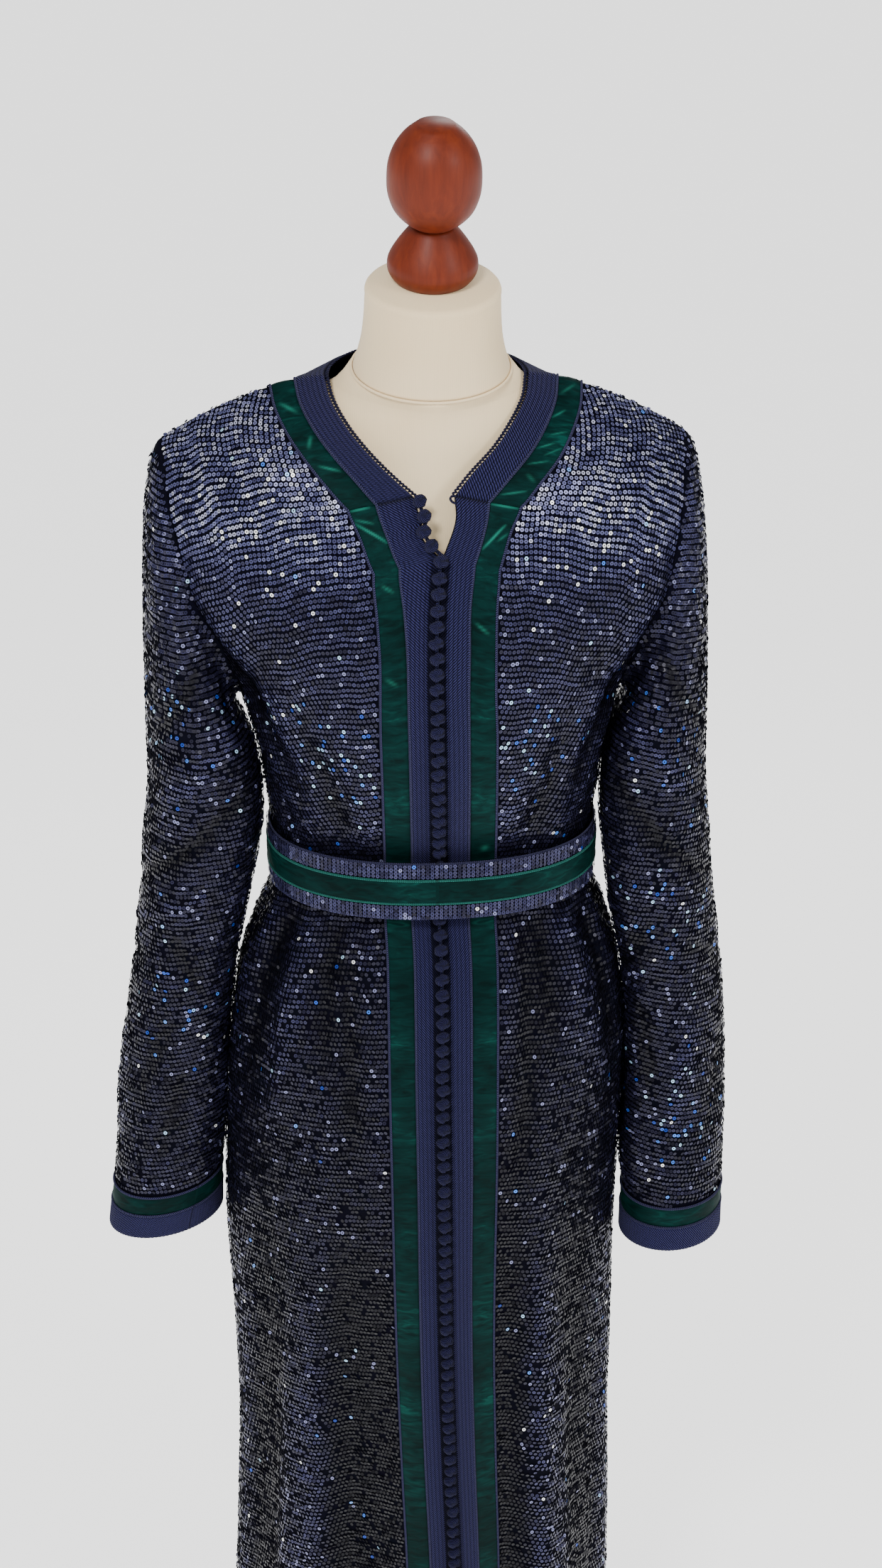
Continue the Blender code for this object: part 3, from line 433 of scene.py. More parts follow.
def frontPaths(side):
    # the front's rows from the hem to the shoulder, each as a dense path, and the band spread
    zs = np.linspace(body["sections"][0][0], body["sections"][-1][0], body["levels"])
    right, left, front, back, placket = sectionAt(zs)
    edge = right if side < 0 else left
    flat = np.zeros_like(zs)
    lower = quarterPaths(np.stack([placket, front, zs], 1), np.stack([edge, flat + body["sideY"], zs], 1),
                         flat + 90.0, flat, flat + 1.0)
    table = np.array(body["upperRows"])
    innerColumns = [0 if side < 0 else 1, 2, 3]
    outerColumns = [4 if side < 0 else 5, 6, 7]
    start = np.array([placket[-1], front[-1], zs[-1]])
    inner = np.vstack([start, table[:, innerColumns]])
    outer = np.vstack([[edge[-1], body["sideY"], zs[-1]], table[:, outerColumns]])
    shares = table[:, 11:13] if side < 0 else table[:, 13:15]
    rest = np.vstack([[90.0, 0.0, 1.0, 1.0, 1.0], np.hstack([table[:, 8:11], shares])])
    keys = np.arange(len(inner), dtype=float)
    at = np.linspace(0, len(keys) - 1, (len(keys) - 1) * body["finer"] + 1)[1:]
    # the inner edge turns sharply where the slit begins and where it meets the neckline
    breaks = [0, body["slitRow"], body["mitreRow"], len(keys) - 1]
    innerAt = np.zeros((len(at), 3))
    for low, high in zip(breaks[:-1], breaks[1:]):
        inside = (at > low - 1e-9) & (at <= high + 1e-9)
        part = slice(low, high + 1)
        for axis in range(3):
            innerAt[inside, axis] = curveThrough(keys[part], inner[part, axis], at[inside])
    # on the right the buttoned edge stays open lower down than a straight line would
    shift = body["slitRound"] * np.sin(math.pi * np.clip(at - body["slitRow"], 0, 1)) ** 0.8 * (side < 0)
    innerAt[:, 0] -= shift
    outerAt = np.stack([curveThrough(keys, outer[:, axis], at) for axis in range(3)], 1)
    restAt = np.stack([curveThrough(keys, rest[:, axis], at) for axis in range(5)], 1)
    upper = quarterPaths(innerAt, outerAt, restAt[:, 0], restAt[:, 1], restAt[:, 2])
    widths = np.concatenate([np.ones((len(zs), 2)), restAt[:, 3:]])
    widths = widths * np.array([body["braidWidth"], body["velvetWidth"]])
    widths[len(zs):, 0] -= shift
    return np.concatenate([lower, upper]), widths


backWidths = (body["braidWidth"], body["velvetWidth"] * body["backVelvetShare"])
frontRows = {side: frontPaths(side) for side in (-1, 1)}
underarmRow = body["levels"] - 1
slitRow = underarmRow + body["finer"] * body["slitRow"]
mitreRow = underarmRow + body["finer"] * body["mitreRow"]


def frontGrid(side, kind):
    # kind "panel" is the whole width; the others are the bands' own widths
    paths, widths = frontRows[side]
    rows = np.array([pickAlong(path, bandDistances(kind, lengthsAlong(path)[-1], wide))
                     for path, wide in zip(paths, widths)])
    if kind == "panel":
        # the armhole seam draws the cloth in: a bell-shaped trough along it, none at its ends
        away = (lengthsAlong(rows)[:, -1:] - lengthsAlong(rows))[..., None]
        t = np.clip((np.arange(len(rows)) - underarmRow) / (len(rows) - 1 - underarmRow), 0, 1)
        pull = body["seamPull"] * np.sin(math.pi * t)[:, None, None] * np.exp(-(away / 0.013) ** 2)
        rows = rows - pull * unitRows(rows - np.array([0.0, 0.02, 1.15])) * np.array([1.0, 1.0, 0.6])
    return addFolds(rows)


def bandDistances(kind, total, wide):
    # distances along a row from its inner edge; wide holds the braid's and the velvet's widths
    braid, both = wide[0], wide[0] + wide[1]
    if kind == "braid":
        return np.linspace(0.0004, braid - 0.0012, 27)
    if kind == "velvet":
        return np.linspace(braid - 0.0006, both - 0.0004, 17)
    if kind == "cords":
        return np.array([braid - 0.0010, both])
    if kind == "edge":
        return np.array([0.0, 0.004])
    return np.concatenate([[0.0, braid * 0.5, braid], np.linspace(both, total, body["columns"])])


def backArmhole(side, count):
    edge = frontGrid(side, "panel")[:, -1]
    tip, low = edge[-1], edge[underarmRow]
    span = np.linalg.norm(low - tip)
    u = np.linspace(0.0, 1.0, 120)[:, None]
    path = hermite(tip, low, np.array([0.0, 0.90, -0.40]) * span,
                   np.array([-0.12 * side, -0.30, -0.75]) * span, u)
    return pickAlong(path, np.linspace(0.0, lengthsAlong(path)[-1], count))


def backLevels(side, zs, count, folded=True):
    # half level rows of the back, from the side seam to the centre
    right, left, front, back, placket = sectionAt(zs)
    flat = np.zeros_like(zs)
    paths = quarterPaths(np.stack([flat, back, zs], 1),
                         np.stack([right if side < 0 else left, flat + body["sideY"], zs], 1),
                         flat + 90.0, flat, flat + 1.0)[:, ::-1]
    rows = np.array([pickAlong(path, np.linspace(0, lengthsAlong(path)[-1], count)) for path in paths])
    return addFolds(rows) if folded else rows


fanCells = {"armhole": 7, "level": 12, "finer": 4}


def yokeGrid(side, kind):
    # a fan of cubic lines from the neckline to the armhole and the underarm level; line 0 is
    # the shoulder seam and the last one is the centre back
    seam = frontRows[side][0][-1]
    neck, velvetEdge = seam[0], pickAlong(seam, [sum(backWidths)])[0]
    turn = np.linspace(0.0, math.pi / 2, 80)
    neckY, neckZ = body["backNeck"]
    neckline = np.stack([neck[0] * np.cos(turn), neck[1] + (neckY - neck[1]) * np.sin(turn),
                         neck[2] + (neckZ - neck[2]) * np.sin(turn)], 1)
    fine = fanCells["finer"]
    arm, level = fanCells["armhole"], fanCells["level"]
    top = body["sections"][-1][0]
    ends = np.concatenate([backArmhole(side, arm * fine + 1),
                           backLevels(side, np.array([top]), level * fine + 1, False)[0][1:]])
    number = np.arange(len(ends)) / fine
    last = number[-1]
    starts = pickAlong(neckline, np.linspace(0.0, lengthsAlong(neckline)[-1], len(ends)))
    tangents = unitRows(np.gradient(starts, axis=0))
    share = (number / last)[:, None]
    leave = (1 - share) * unitRows(velvetEdge - neck) + share * np.array([0.0, 0.50, -0.87])
    leave = unitRows(leave - (leave * tangents).sum(1, keepdims=True) * tangents)
    armShare = np.minimum(number / arm, 1.0)[:, None]
    levelShare = np.maximum(0.0, (number - arm) / level)[:, None]
    arrive = ((1 - armShare) ** 2 * np.array([0.90 * side, 0.0, -0.43])
              + 2 * armShare * (1 - armShare) * np.array([0.50 * side, -0.60, -0.90])
              + armShare ** 2 * np.array([0.02 * side, -0.62, -0.78]))
    blend = smoothStep(0.0, 0.30, levelShare)
    arrive = unitRows((1 - blend) * arrive + blend * np.array([0.0, -0.06, -1.0]))
    span = np.linalg.norm(ends - starts, axis=1, keepdims=True)
    u = np.linspace(0.0, 1.0, 120)[None, :, None]
    paths = hermite(starts[:, None], ends[:, None], (leave * span)[:, None], (arrive * span)[:, None], u)
    paths[0] = pickAlong(seam, np.linspace(0, lengthsAlong(seam)[-1], 120))
    lines = [pickAlong(path, bandDistances(kind, lengthsAlong(path)[-1], backWidths)) for path in paths]
    return addFolds(np.array(lines))


def outwardOf(grid):
    return unitRows(grid * np.array([1.0, 1.0, 0.0]) - np.array([0.0, 0.006, 0.0])) + np.array([0, 0, 0.3])


def linearOf(hexColour):
    # sRGB hex to linear RGBA
    parts = [int(hexColour[k:k + 2], 16) / 255 for k in (1, 3, 5)]
    return [p / 12.92 if p <= 0.04045 else ((p + 0.055) / 1.055) ** 2.4 for p in parts] + [1.0]


def addNode(tree, kind, settings=None, inputs=None, stops=None):
    # adds one node; inputs hold values or the sockets to link from, stops fill a colour ramp
    node = tree.nodes.new(kind)
    for key, value in (settings or {}).items():
        setattr(node, key, value)
    for key, value in (inputs or {}).items():
        if isinstance(value, bpy.types.NodeSocket):
            tree.links.new(value, node.inputs[key])
        else:
            node.inputs[key].default_value = value
    if stops:
        ramp = node.color_ramp
        while len(ramp.elements) < len(stops):
            ramp.elements.new(0.5)
        for element, (place, colour) in zip(ramp.elements, stops):
            element.position = place
            element.color = linearOf(colour)
    return node


def newMaterial(name, roughness, **sockets):
    # a Principled surface; the numbers that are the same all over sit on its own sockets
    made = bpy.data.materials.new(name)
    made.use_nodes = True
    shader = made.node_tree.nodes["Principled BSDF"]
    shader.inputs["Roughness"].default_value = roughness
    for key, value in sockets.items():
        shader.inputs[key.replace("_", " ")].default_value = value
    return made, made.node_tree, shader


def linkBump(tree, shader, height, distance, strength=1.0):
    bump = addNode(tree, "ShaderNodeBump", inputs={"Height": height, "Distance": distance,
                                                   "Strength": strength})
    tree.links.new(bump.outputs["Normal"], shader.inputs["Normal"])


def makeNet():
    # matt navy polyester net, woven: swallows the light between the sequins' rows
    made, tree, shader = newMaterial("navyPolyesterNet", 0.90, Specular_IOR_Level=0.05)
    uv = addNode(tree, "ShaderNodeUVMap", {"uv_map": "cloth"})
    threads = addNode(tree, "ShaderNodeTexChecker", inputs={"Vector": uv.outputs["UV"], "Scale": 1400.0,
                      "Color1": linearOf("#05050f"), "Color2": linearOf("#0c0c1c")})  # 0.7 mm mesh
    tone = addNode(tree, "ShaderNodeTexNoise", inputs={"Vector": uv.outputs["UV"], "Scale": 60.0,
                                                       "Detail": 3.0})
    mix = addNode(tree, "ShaderNodeMix", {"data_type": "RGBA", "blend_type": "MULTIPLY"},
                  {"Factor": 0.6, "A": threads.outputs["Color"], "B": tone.outputs["Color"]})
    tree.links.new(mix.outputs["Result"], shader.inputs["Base Color"])
    linkBump(tree, shader, threads.outputs["Fac"], 0.0003, 0.5)
    return made


def makeSequin():
    # flat punched PET sequins, 3.4 mm, with a metallised navy face: dull grey-violet film, a few
    # painted as glints, blue or white, and the tone also holds painted light and shade; the middle hole is a
    # dark spot
    made, tree, shader = newMaterial("metallisedPetSequin", 0.33, Metallic=0.34, IOR=1.57,
                                     Specular_IOR_Level=0.22)
    spark = addNode(tree, "ShaderNodeUVMap", {"uv_map": "spark"})
    disc = addNode(tree, "ShaderNodeUVMap", {"uv_map": "disc"})
    tones = addNode(tree, "ShaderNodeSeparateXYZ", inputs={"Vector": spark.outputs["UV"]})
    grey = addNode(tree, "ShaderNodeValToRGB", inputs={"Fac": tones.outputs["X"]}, stops=[
        (0.0, "#07070c"), (0.22, "#12111a"), (0.40, "#232238"), (0.58, "#38385a"),
        (0.80, "#52547c"), (0.93, "#7c7ea6"), (0.975, "#ffffff")])
    blue = addNode(tree, "ShaderNodeValToRGB", {}, {"Fac": tones.outputs["X"]}, stops=[
        (0.0, "#0f2272"), (0.40, "#2450c0"), (0.70, "#4a8cf4"), (0.90, "#b4e0ff")])
    isBlue = addNode(tree, "ShaderNodeMath", {"operation": "GREATER_THAN"}, {0: tones.outputs["Y"], 1: 0.5})
    face = addNode(tree, "ShaderNodeMix", {"data_type": "RGBA"}, {
        "Factor": isBlue.outputs["Value"], "A": grey.outputs["Color"], "B": blue.outputs["Color"]})
    distance = addNode(tree, "ShaderNodeVectorMath", {"operation": "LENGTH"}, {0: disc.outputs["UV"]})
    hole = addNode(tree, "ShaderNodeMath", {"operation": "LESS_THAN"}, {
        0: distance.outputs["Value"], 1: 0.34})
    face2 = addNode(tree, "ShaderNodeMix", {"data_type": "RGBA"}, {
        "Factor": hole.outputs["Value"], "A": face.outputs["Result"], "B": linearOf("#0b0b18")})
    tree.links.new(face2.outputs["Result"], shader.inputs["Base Color"])
    return made


def makeBraid(name, light, dark, twill):
    # viscose braid: matt ribs, each plied at a slant; a painted highlight of dull lustre on the plies' crowns
    # and painted shade between them; painted shade, near black, between the buttons and in the ribs' grooves
    made, tree, shader = newMaterial(name, 0.80, Specular_IOR_Level=0.06, Sheen_Weight=0.03)
    uv = addNode(tree, "ShaderNodeUVMap", {"uv_map": "cloth"})
    turned = addNode(tree, "ShaderNodeMapping", inputs={"Vector": uv.outputs["UV"],
                     "Rotation": (0.0, 0.0, math.radians(twill)), "Scale": (1000.0, 1000.0, 1000.0)})
    plies = addNode(tree, "ShaderNodeTexWave", {"bands_direction": "X"}, {
        "Vector": turned.outputs["Vector"], "Scale": 0.22, "Distortion": 1.6, "Detail": 2.0,
        "Detail Scale": 1.0})  # one ply about every 1.4 mm
    fluff = addNode(tree, "ShaderNodeTexNoise", inputs={"Vector": turned.outputs["Vector"],
                    "Scale": 0.9, "Detail": 4.0, "Roughness": 0.7})
    both = addNode(tree, "ShaderNodeMath", {"operation": "MULTIPLY"}, {
        0: plies.outputs["Fac"], 1: fluff.outputs["Fac"]})
    ramp = addNode(tree, "ShaderNodeValToRGB", inputs={"Fac": both.outputs["Value"]},
                   stops=[(0.16, dark), (0.40, light)])
    # painted shade: near black where the map of painted shading is high
    press = addNode(tree, "ShaderNodeSeparateXYZ", inputs={"Vector": addNode(
        tree, "ShaderNodeUVMap", {"uv_map": "press"}).outputs["UV"]})
    shaded = addNode(tree, "ShaderNodeMix", {"data_type": "RGBA"}, {
        "Factor": press.outputs["X"], "A": ramp.outputs["Color"], "B": linearOf("#03030c")})
    tree.links.new(shaded.outputs["Result"], shader.inputs["Base Color"])
    linkBump(tree, shader, both.outputs["Value"], 0.0009, 1.0)
    return made


def makeVelvet():
    # crushed polyester velvet ribbon: dark pile with painted highlights, teal, along its lit creases
    made, tree, shader = newMaterial("crushedPolyesterVelvet", 0.62, Specular_IOR_Level=0.05,
                                     Sheen_Weight=0.06, Sheen_Roughness=0.35)
    shader.inputs["Sheen Tint"].default_value = linearOf("#1f8a72")
    uv = addNode(tree, "ShaderNodeUVMap", {"uv_map": "cloth"})
    streaks = addNode(tree, "ShaderNodeMapping", inputs={"Vector": uv.outputs["UV"],
                      "Rotation": (0.0, 0.0, math.radians(38.0)), "Scale": (60.0, 210.0, 1.0)})
    crush = addNode(tree, "ShaderNodeTexNoise", inputs={"Vector": streaks.outputs["Vector"],
                    "Scale": 1.0, "Detail": 3.0, "Roughness": 0.55, "Distortion": 0.9})
    cloudy = addNode(tree, "ShaderNodeTexNoise", inputs={"Vector": uv.outputs["UV"], "Scale": 16.0,
                                                         "Detail": 2.0})
    total = addNode(tree, "ShaderNodeMath", {"operation": "MULTIPLY"}, {
        0: crush.outputs["Fac"], 1: cloudy.outputs["Fac"]})
    ramp = addNode(tree, "ShaderNodeValToRGB", inputs={"Fac": total.outputs["Value"]}, stops=[
        (0.14, "#001413"), (0.30, "#012422"), (0.38, "#022f2b"), (0.50, "#04463e")])
    # painted highlights: teal where the map of painted shading is high
    press = addNode(tree, "ShaderNodeSeparateXYZ", inputs={"Vector": addNode(
        tree, "ShaderNodeUVMap", {"uv_map": "press"}).outputs["UV"]})
    lit = addNode(tree, "ShaderNodeMix", {"data_type": "RGBA"}, {
        "Factor": press.outputs["X"], "A": ramp.outputs["Color"], "B": linearOf("#2c9c84")})
    tree.links.new(lit.outputs["Result"], shader.inputs["Base Color"])
    linkBump(tree, shader, crush.outputs["Fac"], 0.0010, 0.5)
    return made


def makeJersey():
    # cream cotton jersey stretched over the form: matt, with fine knit columns
    made, tree, shader = newMaterial("creamCottonJersey", 0.88, Sheen_Weight=0.15)
    place = addNode(tree, "ShaderNodeTexCoord")
    knit = addNode(tree, "ShaderNodeTexWave", {"bands_direction": "X"}, {
        "Vector": place.outputs["Object"], "Scale": 210.0, "Distortion": 0.6})  # 1.5 mm columns
    shade = addNode(tree, "ShaderNodeTexNoise", inputs={"Vector": place.outputs["Object"],
                                                        "Scale": 9.0, "Detail": 2.0})
    ramp = addNode(tree, "ShaderNodeValToRGB", inputs={"Fac": shade.outputs["Fac"]},
                   stops=[(0.3, "#e6cea4"), (0.7, "#eed8b0")])
    tree.links.new(ramp.outputs["Color"], shader.inputs["Base Color"])
    linkBump(tree, shader, knit.outputs["Fac"], 0.0002, 0.35)
    return made


def makeWood():
    # turned beech, mahogany stain under satin lacquer: long grain, a soft clear highlight
    made, tree, shader = newMaterial("stainedTurnedBeech", 0.52, Specular_IOR_Level=0.22,
                                     Coat_Weight=0.03, Coat_Roughness=0.30)
    place = addNode(tree, "ShaderNodeTexCoord")
    grain = addNode(tree, "ShaderNodeMapping", inputs={"Vector": place.outputs["Object"],
                    "Rotation": (math.radians(17.0), 0.0, 0.0), "Scale": (90.0, 90.0, 9.0)})
    fibre = addNode(tree, "ShaderNodeTexNoise", inputs={"Vector": grain.outputs["Vector"],
                    "Scale": 1.6, "Detail": 5.0, "Roughness": 0.62, "Distortion": 0.4})
    ramp = addNode(tree, "ShaderNodeValToRGB", inputs={"Fac": fibre.outputs["Fac"]}, stops=[
        (0.25, "#521804"), (0.50, "#601f07"), (0.75, "#6e280a")])
    tree.links.new(ramp.outputs["Color"], shader.inputs["Base Color"])
    linkBump(tree, shader, fibre.outputs["Fac"], 0.0002, 0.3)
    return made


net = makeNet()
sequinFilm = makeSequin()
braidCloth = makeBraid("navyViscoseBraid", "#343460", "#070719", 38.0)
cordCloth = makeBraid("navyViscoseCord", "#46466c", "#121228", 58.0)
buttonCord = makeBraid("navyKnottedCord", "#2c2c52", "#050512", 50.0)
tealCord = makeBraid("tealPipingCord", "#2f7f74", "#0e4640", 58.0)
velvet = makeVelvet()
jersey = makeJersey()
wood = makeWood()
print("materials ready")


half = body["cloth"] / 2
turnedUnder = 0.008     # 4 mm at each edge of a sheet
sides = ((-1, "Right", "right"), (1, "Left", "left"))


def layerArea(grid, closed=False):
    # area of one layer: half the cross product of each cell's diagonals
    after = np.roll(grid, -1, axis=1) if closed else grid[:, 1:]
    here = grid if closed else grid[:, :-1]
    return float(np.linalg.norm(np.cross(after[1:] - here[:-1], after[:-1] - here[1:]), axis=-1).sum() / 2)


def declareSheet(piece, grid, closed=False):
    # the flat cut is the longest row by the longest column, plus 4 mm turned under at each edge
    area = layerArea(grid, closed)
    wide = lengthsAlong(np.concatenate([grid, grid[:, :1]], 1) if closed else grid)[:, -1].max() + turnedUnder
    tall = lengthsAlong(np.swapaxes(grid, 0, 1))[:, -1].max() + turnedUnder
    area = min(max(area, 0.32 * wide * tall), 0.999 * wide * tall)
    print("sheet", piece.name, round(wide, 3), round(tall, 3), round(area, 4))


# dress form under the kaftan: z, half width, front, back, roundness, forward tilt in degrees
form = {
    "torso": [
        (0.800, 0.128, -0.082, 0.086, 2.2, 0), (0.808, 0.144, -0.092, 0.098, 2.2, 0),
        (0.860, 0.155, -0.099, 0.106, 2.2, 0), (0.930, 0.143, -0.091, 0.093, 2.2, 0),
        (0.990, 0.121, -0.073, 0.072, 2.2, 0), (1.025, 0.116, -0.067, 0.066, 2.2, 0),
        (1.060, 0.118, -0.072, 0.068, 2.2, 0), (1.110, 0.129, -0.092, 0.078, 2.2, 0),
        (1.160, 0.138, -0.103, 0.088, 2.2, 0), (1.210, 0.142, -0.105, 0.089, 2.2, 0),
        (1.250, 0.147, -0.099, 0.085, 2.1, 0), (1.285, 0.154, -0.088, 0.080, 2.0, 0),
        (1.315, 0.161, -0.076, 0.074, 1.9, 0), (1.337, 0.168, -0.063, 0.067, 1.75, 0),
        (1.356, 0.169, -0.052, 0.061, 1.55, 1), (1.374, 0.156, -0.047, 0.056, 1.40, 3),
        (1.388, 0.130, -0.044, 0.054, 1.35, 6), (1.399, 0.101, -0.044, 0.054, 1.35, 10),
        (1.408, 0.077, -0.045, 0.053, 1.50, 14), (1.4203, 0.063, -0.049, 0.055, 1.80, 17),
    ],
    "middleY": 0.006, "lean": math.radians(17.0), "neckBase": (0.0, 0.004, 1.4200),
    "neck": [(0.0000, 0.0600), (0.0080, 0.0575), (0.0220, 0.0540), (0.0420, 0.0515),
             (0.0600, 0.0505), (0.0665, 0.0500), (0.0688, 0.0480)],
    "bell": [(0.0000, 0.0285), (0.0040, 0.0318), (0.0100, 0.0338), (0.0150, 0.0332),
             (0.0205, 0.0306), (0.0270, 0.0265), (0.0340, 0.0214), (0.0410, 0.0157)],
    "ball": [(0.0000, 0.0155), (0.0035, 0.0205), (0.0110, 0.0280), (0.0220, 0.0330),
             (0.0360, 0.0344), (0.0500, 0.0326), (0.0610, 0.0277), (0.0690, 0.0212),
             (0.0750, 0.0138)],
    "finialBack": 0.0090,
    "joint": 0.0003, "welt": 0.0011,
    "pole": (0.0150, 0.0183, 0.7997), "base": (0.1550, 0.0180),
}


def loftRings(name, rings, material):
    # closed skin through rings of equal counts, a flat face on each end
    rows, columns = rings.shape[:2]
    first = np.cross(rings[0, 1] - rings[0, 0], rings[1, 0] - rings[0, 0])
    flip = first @ (rings[0, 0] - rings[0].mean(axis=0)) < 0
    cells = quadsOf(rows, columns, True, flip)
    low, high = np.arange(columns), np.arange(columns) + (rows - 1) * columns
    ends = [low, high[::-1]] if flip else [low[::-1], high]
    corners = np.concatenate([cells.ravel(), ends[0], ends[1]])
    return newObject(name, rings.reshape(-1, 3), np.concatenate([np.full(len(cells), 4), [columns] * 2]),
                     corners, material)


def fineTable(table, count):
    # the table's rows on one smooth curve, their own keys kept so that corners stay crisp
    rows = np.array(table, float)
    keys = np.unique(np.round(np.concatenate([rows[:, 0], np.linspace(rows[0, 0], rows[-1, 0], count)]), 6))
    return np.stack([keys] + [curveThrough(rows[:, 0], rows[:, k], keys) for k in range(1, rows.shape[1])])


def leaningRings(start, profile, sides, squash=1.0, count=30, behind=0.0):
    # circles square to the neck's leaning axis: centre + radius (sin, squash cos)
    lean = form["lean"]
    ahead = np.array([0.0, -math.sin(lean), math.cos(lean)])
    back = np.array([0.0, math.cos(lean), math.sin(lean)])
    away, radius = fineTable(profile, count)
    turn = np.linspace(0, 2 * math.pi, sides, endpoint=False)[None, :, None]
    centre = np.array(form["neckBase"]) + back * behind + ahead * (start + away)[:, None, None]
    return (centre + radius[:, None, None] * (np.sin(turn) * np.array([1.0, 0, 0])
                                              - squash * np.cos(turn) * back))


def torsoRings(sides=96):
    # level superellipses, front and back halves of their own depth, tilted forward at the top
    z, wide, front, back, round_, tilt = fineTable(form["torso"], 110)[:, :, None]
    turn = np.linspace(0, 2 * math.pi, sides, endpoint=False)[None, :]
    power = 2.0 / round_
    x = wide * np.sign(np.sin(turn)) * np.abs(np.sin(turn)) ** power
    middle = form["middleY"]
    reach = np.where(np.cos(turn) > 0, middle - front, back - middle)
    y = middle - reach * np.sign(np.cos(turn)) * np.abs(np.cos(turn)) ** power
    return np.stack([x, y, z + (y - middle) * np.tan(np.radians(tilt))], -1)


def latheRings(profile, sides=72):
    # rings of a profile of radius and height about the upright axis
    profile = np.array(profile)
    turn = np.linspace(0, 2 * math.pi, sides, endpoint=False)[None, :]
    x, y = profile[:, :1] * np.cos(turn), profile[:, :1] * np.sin(turn)
    return np.stack([x, y, profile[:, 1:] + 0 * turn], -1)


finishPiece(loftRings("coverTorso", torsoRings(), jersey), "form_cover", "form_torso")
neckRings = leaningRings(0.0, form["neck"], 96, 0.9)
neckPiece = loftRings("coverNeck", neckRings, jersey)
weltOut = unitRows(neckRings[0] - neckRings[0].mean(axis=0))
welt = cordAlong("coverNeckWelt", neckRings[0] + 0.0010 * weltOut, weltOut, form["welt"], jersey, 8, True)
finishPiece(joinPieces("coverNeck", [neckPiece, welt]), "form_cover", "form_neck")
bellStart = form["neck"][-1][0] + form["joint"]
ballStart = bellStart + form["bell"][-1][0] + form["joint"]
finishPiece(loftRings("finialBell", leaningRings(bellStart, form["bell"], 64, behind=form["finialBack"]),
                      wood), "turned_wood", "finial_bell")
finishPiece(loftRings("finialBall", leaningRings(ballStart, form["ball"], 64, 1.0, 40, form["finialBack"]),
                      wood), "turned_wood", "finial_ball")
poleRadius, poleLow, poleHigh = form["pole"]
finishPiece(loftRings("standPole", latheRings([
    (poleRadius + 0.007, poleLow), (poleRadius + 0.0075, poleLow + 0.004),
    (poleRadius + 0.005, poleLow + 0.009), (poleRadius, poleLow + 0.013), (poleRadius, 0.30),
    (poleRadius, 0.55), (poleRadius, poleHigh)]), wood), "turned_wood", "stand_pole")
baseRadius, baseHeight = form["base"]
finishPiece(loftRings("standBase", latheRings([
    (baseRadius - 0.003, 0.0), (baseRadius - 0.0008, 0.0012), (baseRadius, 0.003),
    (baseRadius, 0.0095), (baseRadius - 0.001, 0.0112), (baseRadius - 0.004, 0.0125),
    (baseRadius - 0.006, 0.0155), (baseRadius - 0.009, 0.0172), (baseRadius - 0.014, baseHeight),
    (0.030, baseHeight)], 120), wood), "turned_wood", "stand_base")
print("form ready")


# sequinned panels
frontPanels, backPanels, yokePanels, sleevePanels = {}, {}, {}, {}
for side, label, low in sides:
    grid = frontGrid(side, "panel")
    frontPanels[side] = (grid, gridNormals(grid, outwardOf(grid)))
    zs = np.linspace(body["sections"][-1][0], body["sections"][0][0], body["levels"])
    lower = backLevels(side, zs, 53)
    backPanels[side] = (lower, gridNormals(lower, outwardOf(lower)))
    upper = yokeGrid(side, "panel")
    yokePanels[side] = (upper, gridNormals(upper, outwardOf(upper)))
for side, label, low in sides:
    grid, normals = frontPanels[side]
    piece = finishPiece(clothWall("front" + label, grid, normals, -half, half, net),
                        "sequinned_cloth", "front_" + low)
    declareSheet(piece, grid)
parts = []
for side, label, low in sides:
    for key, (grid, normals) in (("Lower", backPanels[side]), ("Upper", yokePanels[side])):
        parts.append(clothWall("back" + key + label, grid, normals, -half, half, net))
piece = finishPiece(joinPieces("backPanel", parts), "sequinned_cloth", "back")

